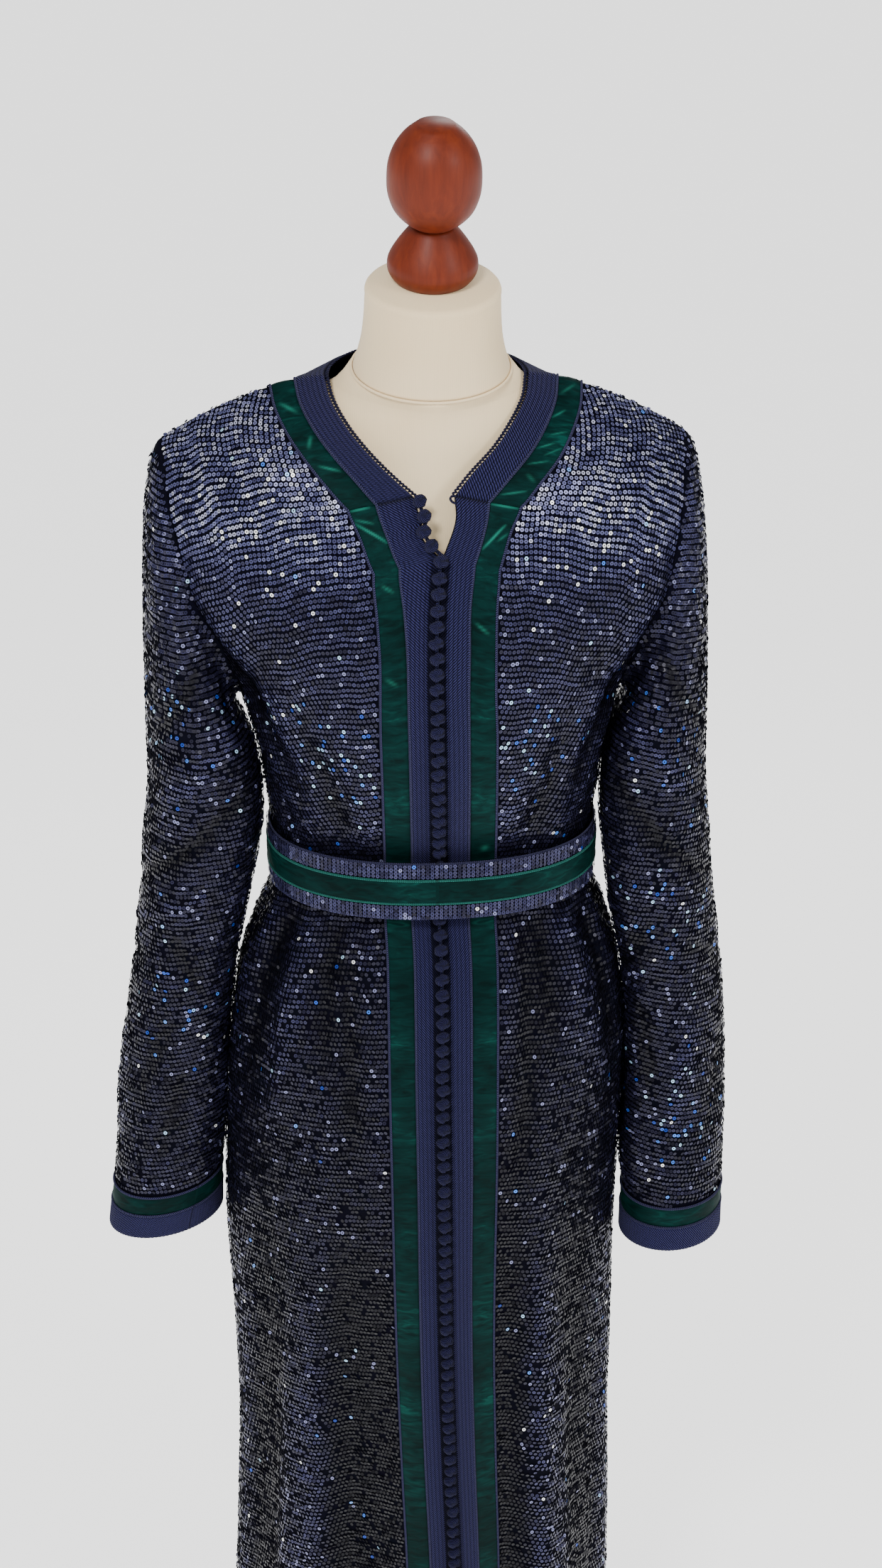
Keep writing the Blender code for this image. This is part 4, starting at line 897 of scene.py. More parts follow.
sleeve = {
    "columns": 96, "cap": 24, "tube": 78, "braid": 0.0230, "velvet": 0.0195,
    -1: [   # z, x, y, half sizes and turn in degrees of the flattened tube
        (1.120, -0.1915, 0.000, 0.0405, 0.0600, 8), (1.085, -0.1915, 0.000, 0.0425, 0.0580, 6),
        (1.050, -0.1945, 0.000, 0.0435, 0.0560, 0), (0.983, -0.2025, -0.002, 0.0410, 0.0510, -10),
        (0.900, -0.2145, -0.004, 0.0415, 0.0470, -22), (0.800, -0.2275, -0.006, 0.0415, 0.0470, -36),
        (0.720, -0.2350, -0.008, 0.0395, 0.0490, -48), (0.665, -0.2400, -0.009, 0.0370, 0.0510, -58)],
    1: [(1.120, 0.1870, 0.000, 0.0385, 0.0600, -10), (1.085, 0.1880, 0.000, 0.0400, 0.0580, -12),
        (1.050, 0.1915, -0.002, 0.0400, 0.0560, -14), (0.983, 0.1990, -0.004, 0.0385, 0.0520, -20),
        (0.900, 0.2085, -0.008, 0.0380, 0.0480, -28), (0.800, 0.2125, -0.014, 0.0400, 0.0460, -36),
        (0.720, 0.2145, -0.022, 0.0410, 0.0460, -44), (0.645, 0.2150, -0.028, 0.0400, 0.0470, -52)],
    "rest": {-1: ([0.712, 0.735, 0.75, 0.78, 0.81, 0.87, 0.90, 0.93, 0.98, 1.05, 1.08, 1.11, 1.15],
                  [0.0, 0.0030, 0.0033, 0.0028, 0.0026, 0.0020, 0.0030, 0.0040, 0.0070, 0.0095, 0.0080,
                   0.0060, 0.0]),
             1: ([0.692, 0.72, 0.75, 0.78, 0.87, 0.90, 0.93, 0.97, 1.02, 1.05, 1.08, 1.11, 1.15],
                 [0.0, 0.0042, 0.0043, 0.0033, 0.0033, 0.0042, 0.0072, 0.0100, 0.0100, 0.0100, 0.0070,
                  0.0048, 0.0])},
    "folds": [(1.000, 250.0, -0.0060, 30.0, 0.035), (0.930, 300.0, -0.0045, 34.0, 0.030),
              (1.080, 215.0, -0.0045, 30.0, 0.040), (0.820, 240.0, 0.0040, 40.0, 0.060)],
    "creases": [
        # z and angle at one end, z and angle at the other, depth (+ out), width in degrees;
        # angle 0 is the underarm side, 90 the front, 180 the outer side
        (1.215, 60.0, 1.120, 175.0, -0.0030, 9.0), (1.160, 40.0, 1.060, 160.0, 0.0026, 10.0),
        (1.110, 30.0, 1.010, 130.0, -0.0028, 9.0), (1.060, 70.0, 0.985, 190.0, -0.0030, 10.0),
        (1.005, 60.0, 0.960, 180.0, 0.0028, 10.0), (0.975, 95.0, 0.900, 40.0, -0.0026, 9.0),
        (0.950, 120.0, 0.905, 215.0, -0.0026, 10.0), (0.900, 70.0, 0.780, 95.0, -0.0024, 8.0),
        (0.880, 140.0, 0.750, 120.0, 0.0026, 10.0), (0.850, 40.0, 0.730, 55.0, -0.0022, 8.0),
        (0.860, 190.0, 0.735, 170.0, -0.0024, 9.0), (1.200, 300.0, 1.100, 190.0, -0.0030, 9.0),
        (1.130, 320.0, 1.030, 220.0, 0.0026, 10.0), (1.070, 330.0, 0.990, 230.0, -0.0028, 9.0),
        (0.960, 330.0, 0.900, 250.0, 0.0026, 10.0), (0.890, 300.0, 0.760, 280.0, -0.0026, 9.0),
        (0.840, 345.0, 0.740, 330.0, 0.0022, 9.0)],
}


sleeveMoves = {}


def sleeveRings(side, zs, share):
    # turned ovals: x = -s (half + folds) cos, y = -(half + folds) sin, each ring turned
    rows = np.array(sleeve[side])[::-1]
    x, y, halfX, halfY, turn = [curveThrough(rows[:, 0], rows[:, k], zs)[:, None] for k in range(1, 6)]
    angle = 2 * math.pi * share[None, :]
    reach = np.zeros((len(zs), len(share)))
    for foldZ, place, depth, width, height in sleeve["folds"]:
        away = (np.degrees(angle) - place + 180.0) % 360.0 - 180.0
        rise = (zs[:, None] - foldZ) / height
        reach = reach + depth * np.exp(-0.5 * (away / width) ** 2 - 0.5 * rise ** 2)
    localX, localY = -side * (halfX + reach) * np.cos(angle), -(halfY + reach) * np.sin(angle)
    tilt = np.radians(turn)
    return np.stack([x + localX * np.cos(tilt) - localY * np.sin(tilt),
                     y + localX * np.sin(tilt) + localY * np.cos(tilt), zs[:, None] + 0 * reach], -1)


def sleeveGrid(side):
    # cubic paths from the armhole to the first hanging ring, then the rings down to the end
    loop = np.concatenate([frontPanels[side][0][underarmRow:, -1],
                           yokePanels[side][0][1:fanCells["armhole"] * fanCells["finer"], -1]])
    closed = np.concatenate([loop, loop[:1]])
    share = np.arange(sleeve["columns"]) / sleeve["columns"]
    loop = pickAlong(closed, share * lengthsAlong(closed)[-1])
    top, end = sleeve[side][0][0], sleeve[side][-1][0]
    first = sleeveRings(side, np.array([top]), share)[0]
    span = np.linalg.norm(first - loop, axis=1)[:, None]
    high = smoothStep(1.20, 1.36, loop[:, 2])[:, None]
    leave = np.array([0.98 * side, 0.0, -0.20]) * (1 - high) + np.array([0.80 * side, 0.0, -0.35]) * high
    leave[:, 1] += 0.25 * np.sign(loop[:, 1]) * smoothStep(0.0, 0.04, np.abs(loop[:, 1]))
    leave = leave * np.clip(span, 0.060, 0.075)
    u = np.linspace(0.0, 1.0, sleeve["cap"] + 1)[:, None, None]
    cap = hermite(loop, first, leave, np.array([0.04 * side, 0.0, -1.0]) * span, u)
    zs = np.linspace(top, end, sleeve["tube"] + 1)[1:]
    grid = np.concatenate([cap, sleeveRings(side, zs, share)])
    normals = gridNormals(grid, unitRows(grid - grid.mean(axis=1, keepdims=True)), True)
    degrees = 360.0 * share[None, :]
    move = np.zeros(grid.shape[:2])
    for z0, a0, z1, a1, depth, width in sleeve["creases"]:
        s = (grid[..., 2] - z0) / (z1 - z0)
        away = (degrees - (a0 + (a1 - a0) * s) + 180.0) % 360.0 - 180.0
        move += depth * smoothStep(0.0, 0.3, s) * (1 - smoothStep(0.6, 1.0, s)) * np.exp(
            -0.5 * (away / width) ** 2)
    rows = np.arange(len(grid))[:, None]
    sleeveMoves[side] = move
    # the inner side hangs close to the body and the skirt
    inner = smoothStep(0.3, 1.0, -side * normals[..., 0]) * np.interp(grid[..., 2], *sleeve["rest"][side])
    grid = grid + normals * (move * smoothStep(3, 8, rows) + inner)[..., None]
    return grid, gridNormals(grid, normals, True)


for side, label, low in sides:
    grid, normals = sleeveGrid(side)
    sleevePanels[side] = (grid, normals)
    piece = finishPiece(clothWall("sleeve" + label, grid, normals, -half, half, net, True),
                        "sequinned_cloth", "sleeve_" + low)
    declareSheet(piece, grid, True)
print("panels ready")

bands = {
    "lift": 0.0009, "braid": 0.0029, "velvet": 0.0022, "rib": 0.0035, "ribDepth": 0.0007,
    "cord": 0.0011, "picotPitch": 0.0030, "cuffRib": 0.0030,
    "recess": {-1: 0.0078, 1: 0.0052},
    # painted highlights on the velvet's creases, measured from the mitre: along, across, along, across,
    # strength, width
    "streaks": {
        -1: [(0.0006, 0.95, 0.0006, 0.25, 0.50, 0.0008), (0.0080, 0.90, 0.0130, 0.30, 0.26, 0.0008),
             (0.0110, 0.95, 0.0290, 0.05, 0.48, 0.0009), (0.0600, 0.70, 0.0660, 0.30, 0.25, 0.0010),
             (0.1300, 0.80, 0.1360, 0.40, 0.20, 0.0012), (0.3400, 0.20, 0.3460, 0.70, 0.25, 0.0012)],
        1: [(0.0006, 0.05, 0.0006, 0.95, 0.50, 0.0008), (0.0150, 0.70, 0.0340, 0.12, 0.48, 0.0009),
            (0.0210, 0.90, 0.0270, 0.60, 0.20, 0.0009), (0.0900, 0.25, 0.0960, 0.70, 0.25, 0.0011),
            (0.2900, 0.75, 0.2960, 0.30, 0.22, 0.0012)]},
    "neckStreaks": [
        (0.0090, 0.15, 0.0150, 0.75, 0.30, 0.0009), (0.0240, 0.80, 0.0300, 0.40, 0.16, 0.0010),
        (0.0400, 0.20, 0.0440, 0.70, 0.28, 0.0008), (0.0500, 0.50, 0.0580, 0.90, 0.22, 0.0008),
        (0.0560, 0.15, 0.0610, 0.55, 0.34, 0.0008), (0.0690, 0.30, 0.0730, 0.80, 0.26, 0.0008),
        (0.0860, 0.10, 0.0930, 0.45, 0.30, 0.0009), (0.1100, 0.20, 0.1200, 0.70, 0.18, 0.0012)],
    "neckStreaksRight": [
        (0.0350, 0.20, 0.0420, 0.70, 0.35, 0.0012), (0.0600, 0.60, 0.0700, 0.25, 0.25, 0.0012),
        (0.0950, 0.30, 0.1050, 0.75, 0.30, 0.0015), (0.1500, 0.30, 0.1580, 0.70, 0.35, 0.0012),
        (0.1800, 0.70, 0.1880, 0.30, 0.30, 0.0012), (0.2500, 0.30, 0.2580, 0.75, 0.30, 0.0012)],
}


def strip(kind):
    # one band from the right mitre up round the neck and down to the left mitre
    right, left = frontGrid(-1, kind)[mitreRow:], frontGrid(1, kind)[mitreRow:]
    backRight, backLeft = yokeGrid(-1, kind), yokeGrid(1, kind)
    return np.concatenate([right, backRight[1:], backLeft[::-1][1:], left[::-1][1:]])


def finerRows(grid, times):
    # the same grid with its rows parted into equal steps, straight between neighbours
    i = np.linspace(0, len(grid) - 1, (len(grid) - 1) * times + 1)[:, None] + np.zeros(grid.shape[1])
    return sampleGrid(grid, i, np.arange(grid.shape[1])[None, :] + 0 * i)


def ribbed(grid, depth):
    # lengthwise ribs: the outer face rises by depth |sin| over each rib, and dips at the ends
    across = lengthsAlong(grid)
    ribs = np.abs(np.sin(math.pi * across / bands["rib"])) ** 0.7
    rows = np.arange(len(grid))[:, None]
    ends = np.minimum(1.0, 0.55 + 0.45 * np.minimum(rows, len(grid) - 1 - rows) / 1.5)
    return (depth - bands["ribDepth"] + bands["ribDepth"] * ribs) * ends


def paintedGrooveShade(grid):
    # painted shade: 0.6 at the bottom of each rib's groove and along the seamed ends, 0 on the ribs
    ribs = np.abs(np.sin(math.pi * lengthsAlong(grid) / bands["rib"]))
    rows = np.arange(len(grid))[:, None]
    ends = 1 - smoothStep(0.0, 1.2, np.minimum(rows, len(grid) - 1 - rows))
    return np.maximum(0.6 * (1 - smoothStep(0.15, 0.70, ribs)), 0.7 * ends)


def buttonRecess(grid, width):
    # a step down to 1 under the buttons below the slit, 0 elsewhere
    rows = np.arange(len(grid))[:, None]
    return (1 - smoothStep(width - 0.0006, width + 0.0008, lengthsAlong(grid))) * (
        1 - smoothStep(slitRow - 3, slitRow + 2, rows))


def streaksOn(grid, marks, fromTop):
    # each mark is a painted highlight along a crease: distance along the band and share across it at both
    # ends, strength and half width; its profile is a bell across the line, fading at the ends
    along = lengthsAlong(np.swapaxes(grid, 0, 1)).T
    along = along[-1:] - along if fromTop else along
    wide = lengthsAlong(grid)[:, -1:]
    across = lengthsAlong(grid)
    lit = np.zeros(grid.shape[:2])
    for s0, c0, s1, c1, strength, width in marks:
        ax, ay, bx, by = s0, c0 * wide, s1, c1 * wide
        dx, dy = bx - ax, by - ay
        share = np.clip(((along - ax) * dx + (across - ay) * dy) / (dx**2 + dy**2), 0, 1)
        away = np.hypot(along - ax - share * dx, across - ay - share * dy)
        lit += strength * np.exp(-(away / width) ** 2) * (0.35 + 0.65 * np.sin(math.pi * share))
    return np.clip(lit, 0, 1)


def crushed(grid, depth, seed):
    # pile pressed into soft diagonal dents, uneven in place and depth
    along = lengthsAlong(np.swapaxes(grid, 0, 1)).T
    across = lengthsAlong(grid)
    dents = (wave((along + 0.6 * across) * 190.0, seed) * 0.5
             + wave(along * 75.0 - across * 60.0, seed + 1) * 0.5)
    edges = np.sin(math.pi * np.linspace(0, 1, grid.shape[1])) ** 0.5
    return depth * (0.62 + 0.38 * edges[None, :]) + 0.00045 * dents * edges[None, :]


def stripNormals(grid):
    outward = unitRows(grid - np.array([0.0, 0.006, 0.0])) * np.array([1.0, 1.0, 0.3])
    return gridNormals(grid, outward + np.array([0.0, 0.0, 0.3]))


for side, label, low in sides:
    for kind, node, cloth, slotName in (("braid", "placket_braid_", braidCloth, "navy_braid"),
                                        ("velvet", "front_velvet_", velvet, "green_velvet")):
        whole = frontGrid(side, kind)
        grid, normals = whole[:mitreRow + 1], stripNormals(whole)[:mitreRow + 1]
        if kind == "braid":
            # the recess under the buttons lowers the braid and is painted in shade, as are the ribs' grooves
            press = buttonRecess(grid, bands["recess"][side])
            top = ribbed(grid, bands["braid"]) * (1 - 0.5 * press)
            press = np.maximum(0.85 * press, paintedGrooveShade(grid))
        else:
            grid, normals = finerRows(grid, 2), unitRows(finerRows(normals, 2))
            # painted highlights along the velvet's creases, which also rise a little
            press = streaksOn(grid, bands["streaks"][side], True)
            top = crushed(grid, bands["velvet"], 5 + side) + 0.0005 * press
        piece = clothWall(("placketBraid" if kind == "braid" else "frontVelvet") + label, grid, normals,
                          bands["lift"], np.maximum(top, bands["lift"] + 0.0004), cloth, press=press)
        finishPiece(piece, slotName, node + low)
        declareSheet(piece, grid)
for kind, name, node, cloth, slotName in (("braid", "neckBraid", "neck_braid", braidCloth, "navy_braid"),
                                          ("velvet", "neckVelvet", "neck_velvet", velvet, "green_velvet")):
    grid = strip(kind)
    normals = stripNormals(grid)
    if kind == "braid":
        # painted shade in the ribs' grooves and at the seamed ends
        press, top = paintedGrooveShade(grid), ribbed(grid, bands["braid"])
    else:
        grid, normals = finerRows(grid, 2), unitRows(finerRows(normals, 2))
        # painted highlights along the neck velvet's creases, which also rise a little
        press = np.clip(streaksOn(grid, bands["neckStreaks"], True)
                        + streaksOn(grid, bands["neckStreaksRight"], False), 0, 1)
        top = crushed(grid, bands["velvet"], 11) + 0.0005 * press
    piece = clothWall(name, grid, normals, bands["lift"], np.maximum(top, bands["lift"] + 0.0004), cloth,
                      press=press)
    finishPiece(piece, slotName, node)
    declareSheet(piece, grid)
print("bands ready")


# piping along both edges of the velvet, one cord each from hem to hem round the neck
def wholeEdge(column):
    right, left = frontGrid(-1, "cords"), frontGrid(1, "cords")
    grid = np.concatenate([right, yokeGrid(-1, "cords")[1:], yokeGrid(1, "cords")[::-1][1:],
                           left[::-1][1:]])
    return grid[:, column], stripNormals(grid)[:, column]


for column, (name, lift) in enumerate((("pipingInner", 0.0023), ("pipingOuter", 0.0016))):
    path, normals = wholeEdge(column)
    finishPiece(cordAlong(name, path + normals * lift, normals, bands["cord"], cordCloth, 7), "navy_braid")

# crochet edge inside the neck, mitre to mitre: a thin cord that loops out once a pitch
edge = strip("edge")
inward = unitRows(edge[:, 0] - edge[:, 1])
edgeNormals = stripNormals(edge)[:, 0]
total = lengthsAlong(edge[:, 0])[-1]
steps = np.arange(0.0, total, bands["picotPitch"] / 6)
loops = np.abs(np.sin(math.pi * steps / bands["picotPitch"]))
across = np.stack([np.interp(steps, lengthsAlong(edge[:, 0]), inward[:, k]) for k in range(3)], 1)
upward = np.stack([np.interp(steps, lengthsAlong(edge[:, 0]), edgeNormals[:, k]) for k in range(3)], 1)
path = pickAlong(edge[:, 0], steps) + across * (0.0004 + 0.0022 * loops)[:, None] + upward * 0.0012
finishPiece(cordAlong("neckPicot", path, upward, 0.00085, buttonCord, 5), "navy_braid")


# cuffs
for side, label, low in sides:
    end = sleeve[side][-1][0]
    edges = (end, end + sleeve["braid"], end + sleeve["braid"] + sleeve["velvet"])
    for kind, zs, cells in (("Braid", np.linspace(edges[1] - 0.0004, edges[0], 9), 400),
                            ("Velvet", np.linspace(edges[2], edges[1] + 0.0004, 13), 128)):
        share = np.arange(cells) / cells
        grid = sleeveRings(side, zs, share)
        normals = gridNormals(grid, unitRows(grid - grid.mean(axis=1, keepdims=True)), True)
        around = lengthsAlong(np.concatenate([grid, grid[:, :1]], 1))[0, -1]
        if kind == "Braid":
            count = round(around / bands["cuffRib"])
            ribs = np.abs(np.sin(math.pi * count * share))[None, :] ** 0.8
            top = bands["braid"] - 0.0006 + 0.0006 * ribs + 0 * zs[:, None]
            cloth, slotName = braidCloth, "navy_braid"
        else:
            soft = np.sin(math.pi * np.linspace(0, 1, len(zs)))[:, None] ** 0.5
            top = bands["velvet"] * (0.62 + 0.38 * soft) + 0.0005 * soft * wave(
                2 * math.pi * share[None, :] * 7 + zs[:, None] * 160, 20 + side)
            cloth, slotName = velvet, "green_velvet"
        piece = clothWall("cuff" + kind + label, grid, normals, bands["lift"], top, cloth, True)
        finishPiece(piece, slotName, "cuff_" + kind.lower() + "_" + low)
        declareSheet(piece, grid, True)
    cords = []
    for z in (edges[1], edges[2]):
        ring = sleeveRings(side, np.array([z, z - 0.002]), np.arange(160) / 160)
        normals = gridNormals(ring, unitRows(ring - ring.mean(axis=1, keepdims=True)), True)[0]
        cords.append(cordAlong("cuffCord", ring[0] + normals * 0.0021, normals, bands["cord"], cordCloth,
                               7, True))
    finishPiece(joinPieces("cuffPiping" + label, cords), "navy_braid")
print("cuffs ready")


# belt
belt = {
    "z": 1.0225, "height": 0.0500, "thickness": 0.0022, "stripe": 0.0205, "stripeLift": 0.0004,
    "right": -0.1365, "left": 0.1365, "front": -0.0955, "back": 0.0835, "cord": 0.0010, "sides": 260,
}


def beltPath(zs, offset):
    # rounded oval of the belt at each height, moved out by offset; returns points and normals
    turn = np.linspace(0, 2 * math.pi, belt["sides"], endpoint=False)
    power = 2.0 / body["roundness"]
    sideX = np.where(np.sin(turn) < 0, -belt["right"], belt["left"])
    sideY = np.where(np.cos(turn) > 0, body["sideY"] - belt["front"], belt["back"] - body["sideY"])
    x = sideX * np.sign(np.sin(turn)) * np.abs(np.sin(turn)) ** power
    y = body["sideY"] - sideY * np.sign(np.cos(turn)) * np.abs(np.cos(turn)) ** power
    ring = np.stack([x, y, 0 * x], 1)
    closed = np.concatenate([ring, ring[:1]])
    ring = pickAlong(closed, np.arange(belt["sides"]) / belt["sides"] * lengthsAlong(closed)[-1])
    ahead = np.roll(ring, -1, axis=0) - np.roll(ring, 1, axis=0)
    normals = unitRows(np.stack([ahead[:, 1], -ahead[:, 0], 0 * x], 1))
    normals *= np.sign((normals * ring).sum(1).mean())
    grid = ring[None] + np.array([0, 0, 1.0]) * np.asarray(zs)[:, None, None] + normals[None] * offset
    return grid, np.broadcast_to(normals, grid.shape).copy()


low, high = belt["z"] - belt["height"] / 2, belt["z"] + belt["height"] / 2
grid, normals = beltPath(np.linspace(high, low, 9), 0.0)
piece = finishPiece(clothWall("beltBand", grid, normals, -belt["thickness"], -0.0004, net, True),
                    "sequinned_cloth", "belt_band")
declareSheet(piece, grid, True)
stripeZ = np.linspace(belt["z"] + belt["stripe"] / 2, belt["z"] - belt["stripe"] / 2, 15)
grid, normals = beltPath(stripeZ, 0.0)
soft = np.sin(math.pi * np.linspace(0, 1, len(stripeZ)))[:, None] ** 0.5
turn = np.linspace(0, 2 * math.pi, belt["sides"], endpoint=False)[None, :]
top = 0.0010 + 0.0008 * soft + 0.0004 * soft * wave(turn * 19 + stripeZ[:, None] * 150, 31)
piece = finishPiece(clothWall("beltVelvet", grid, normals, belt["stripeLift"], top, velvet, True),
                    "green_velvet", "belt_velvet")
declareSheet(piece, grid, True)
cords = []
for z in (stripeZ[0], stripeZ[-1], low + 0.0008, high - 0.0008):
    ring, normals = beltPath(np.array([z]), 0.0009 if abs(z - belt["z"]) < 0.012 else -0.0010)
    cords.append(cordAlong("beltCord", ring[0], normals[0], belt["cord"],
                           tealCord if abs(z - belt["z"]) < 0.012 else cordCloth, 7, True))
finishPiece(joinPieces("beltPiping", cords), "green_velvet")
print("belt ready")


# knotted ball buttons
buttons = {
    "pitch": 0.0121, "width": 0.0118, "tall": 0.0106, "deep": 0.0092, "lift": 0.0066, "groove": 0.34,
    "thread": 0.0016, "openCount": 4, "openPitch": 0.0117, "openShift": 0.0026, "aside": -0.0012,
    "around": 12, "rings": 7, "loopReach": 0.0034, "loopHalf": 0.0026, "loopCord": 0.0010,
}


def ballMesh(name, centres, normals, aheads, turns):
    # each ball is a squashed sphere whose pole faces out; a slanted groove parts it in two lobes
    rings, around = buttons["rings"], buttons["around"]
    theta = np.linspace(0, math.pi, rings + 2)[1:-1][:, None]
    phi = np.linspace(0, 2 * math.pi, around, endpoint=False)[None, :]
    x, y, z = np.sin(theta) * np.cos(phi), np.sin(theta) * np.sin(phi), np.cos(theta) + 0 * phi
    unit = np.concatenate([[[0, 0, 1.0]], np.stack([x, y, z], -1).reshape(-1, 3), [[0, 0, -1.0]]])
    slant = turns[:, None]
    away = unit[None, :, 0] * np.cos(slant) + unit[None, :, 1] * np.sin(slant)
    along = -unit[None, :, 0] * np.sin(slant) + unit[None, :, 1] * np.cos(slant)
    swell = 1.0 - buttons["groove"] * np.exp(-(away / 0.20) ** 2) + 0.05 * np.cos(along * 7.0 + away * 5.0)
    local = unit[None] * swell[..., None] * np.array([buttons["width"], buttons["tall"], buttons["deep"]]) / 2
    side = unitRows(np.cross(aheads, normals))
    up = np.cross(normals, side)
    points = (centres[:, None] + local[..., :1] * side[:, None] + local[..., 1:2] * up[:, None]
              + local[..., 2:] * normals[:, None])
    quads = quadsOf(rings, around, True) + 1
    j = np.arange(around)
    last = rings * around + 1
    capOne = np.stack([np.zeros(around, int), j + 1, (j + 1) % around + 1], 1)
    base = last - around
    capTwo = np.stack([np.full(around, last), base + (j + 1) % around, base + j], 1)
    first = points[0]
    face = np.cross(first[quads[0, 1]] - first[quads[0, 0]], first[quads[0, 2]] - first[quads[0, 0]])
    if face @ (first[quads[0, 0]] - centres[0]) < 0:
        quads = quads[:, ::-1]
    face = np.cross(first[capOne[0, 1]] - first[0], first[capOne[0, 2]] - first[0])
    if face @ normals[0] < 0:
        capOne, capTwo = capOne[:, ::-1], capTwo[:, ::-1]
    count = len(unit)
    shift = (np.arange(len(centres)) * count)[:, None, None]
    corners = np.concatenate([(part[None] + shift).reshape(len(centres), -1)
                              for part in (quads, capOne, capTwo)], 1).ravel()
    sizes = np.tile(np.concatenate([np.full(len(quads), 4), np.full(2 * around, 3)]), len(centres))
    uv = np.stack([np.arctan2(unit[:, 1], unit[:, 0]), np.arccos(np.clip(unit[:, 2], -1, 1))], 1) * 0.005
    uv = np.tile(uv, (len(centres), 1)) + np.repeat(np.arange(len(centres)) * 0.013, count)[:, None]
    return newObject(name, points.reshape(-1, 3), sizes, corners, buttonCord, {"cloth": uv[corners]})


centre = frontGrid(-1, "edge")
centreNormals = stripNormals(frontGrid(-1, "panel"))[:, 0]
for name, node, first, last in (("buttonRow", "button_row", 0, slitRow),
                                ("openButtons", "open_buttons", slitRow, mitreRow)):
    shift = buttons["aside"] if name == "buttonRow" else buttons["openShift"]
    path = centre[first:last + 1, 0][::-1] + np.array([shift, 0.0, 0.0])
    normals = centreNormals[first:last + 1][::-1]
    lifted = path + normals * buttons["lift"]
    total = lengthsAlong(lifted)[-1]
    if name == "buttonRow":
        places = np.arange(0.2, int(total / buttons["pitch"])) * buttons["pitch"]
    else:
        places = (np.arange(buttons["openCount"]) + 0.45) * buttons["openPitch"]
    spot = np.interp(places, lengthsAlong(lifted), np.arange(len(lifted)))
    centres = pickAlong(lifted, places)
    outs = unitRows(np.stack([np.interp(spot, np.arange(len(path)), normals[:, k]) for k in range(3)], 1))
    aheads = pickAlong(lifted, places + 0.003) - pickAlong(lifted, places - 0.003)
    slack = 0.5 if name == "openButtons" else 0.0
    turns = math.radians(32.0) + dice.normal(0.0, 0.16, len(places)) + slack
    centres = centres + dice.normal(0.0, 0.00025, centres.shape)
    balls = ballMesh(name, centres, outs, aheads, turns)
    thread = cordAlong(name + "Thread", path + normals * (buttons["lift"] - 0.0026), normals,
                       buttons["thread"], buttonCord, 6)
    finishPiece(joinPieces(name, [balls, thread]), "navy_braid", node)
# one cord loop stays open at the top of the left edge
leftEdge = frontGrid(1, "edge")
at, lower, within = leftEdge[mitreRow, 0], leftEdge[mitreRow - 1, 0], leftEdge[mitreRow, 1]
up = stripNormals(leftEdge)[mitreRow, 0]
ahead, outwards = unitRows(at - lower), unitRows(at - within)
turn = np.linspace(-0.15 * math.pi, 1.15 * math.pi, 15)[:, None]
path = (at - ahead * 0.0030 + outwards * buttons["loopReach"] * np.sin(turn)
        + ahead * buttons["loopHalf"] * np.cos(turn) + up * 0.0026)
loop = cordAlong("buttonLoop", path, np.broadcast_to(up, path.shape), buttons["loopCord"], buttonCord, 6)
finishPiece(loop, "navy_braid")
print("buttons ready")


# sequins
sequins = {
    "radius": 0.00172, "alongPitch": 0.0034, "rowPitch": 0.0044, "lift": 0.0006, "shingle": 0.16,
    "groupTilt": 0.11, "ownTilt": 0.13, "dash": (2, 5), "blueGlintShare": 0.035,
    # painted glint patches, white and blue highlights: x, y, z, radius, strength; white where +, blue where -
    "paintedGlints": [(-0.120, -0.09, 1.300, 0.045, 1.0), (-0.075, -0.10, 1.270, 0.035, 0.6),
                (0.110, -0.09, 1.310, 0.045, 1.0), (0.140, -0.07, 1.290, 0.030, 0.7),
                (0.085, -0.11, 1.250, 0.040, 0.6), (-0.085, -0.11, 1.140, 0.045, -0.9),
                (0.078, -0.12, 1.150, 0.040, -1.0), (-0.150, -0.08, 1.180, 0.030, -0.5),
                (-0.220, -0.04, 1.150, 0.050, -0.6), (0.210, -0.04, 1.120, 0.050, -0.6),
                (0.205, -0.05, 0.980, 0.050, -0.6), (-0.225, -0.05, 0.900, 0.050, -0.5),
                (0.215, -0.05, 0.780, 0.050, -0.6), (-0.110, 0.09, 1.290, 0.050, 0.8),
                (0.100, 0.10, 1.270, 0.050, 0.8), (-0.080, 0.11, 1.150, 0.050, -0.8),
                (0.090, 0.11, 0.860, 0.060, -0.7), (-0.100, 0.14, 0.500, 0.070, -0.6)],
    "beltRow": 0.0036, "beltSteps": [-22.6, -19.6, -16.6, -13.6, 13.6, 16.6, 19.6, 22.6],  # mm
    # painted light, lighter towards the top: the film's tone factor on the skirt, then what the chest, and
    # the shoulders, add
    "frontPaintedLight": (0.58, 0.20, 0.62), "backPaintedLight": (0.58, 0.26), "sleevePaintedLight": (0.60, 0.25),
    "missing": 0.07,        # share of them that has come off the skirt
}


def rowFor(along, j, v):
    # fractional row where the running length up a column is v, read on the two nearest columns
    low = np.clip(j.astype(int), 0, along.shape[1] - 2)
    share = j - low
    i = np.zeros(len(v))
    for column in range(along.shape[1]):
        for part, weight in ((low == column, 1 - share), (low == column - 1, share)):
            i[part] += weight[part] * np.interp(v[part], along[:, column], np.arange(len(along)), right=1e6)
    return np.minimum(i, len(along) - 1.0), i <= len(along) - 1


def frameOn(grid, normals, i, j):
    place = sampleGrid(grid, i, j)
    out = unitRows(sampleGrid(normals, i, j))
    ahead = sampleGrid(grid, i, j + 0.4) - sampleGrid(grid, i, j - 0.4)
    ahead = unitRows(ahead - (ahead * out).sum(-1, keepdims=True) * out)
    return place, out, ahead


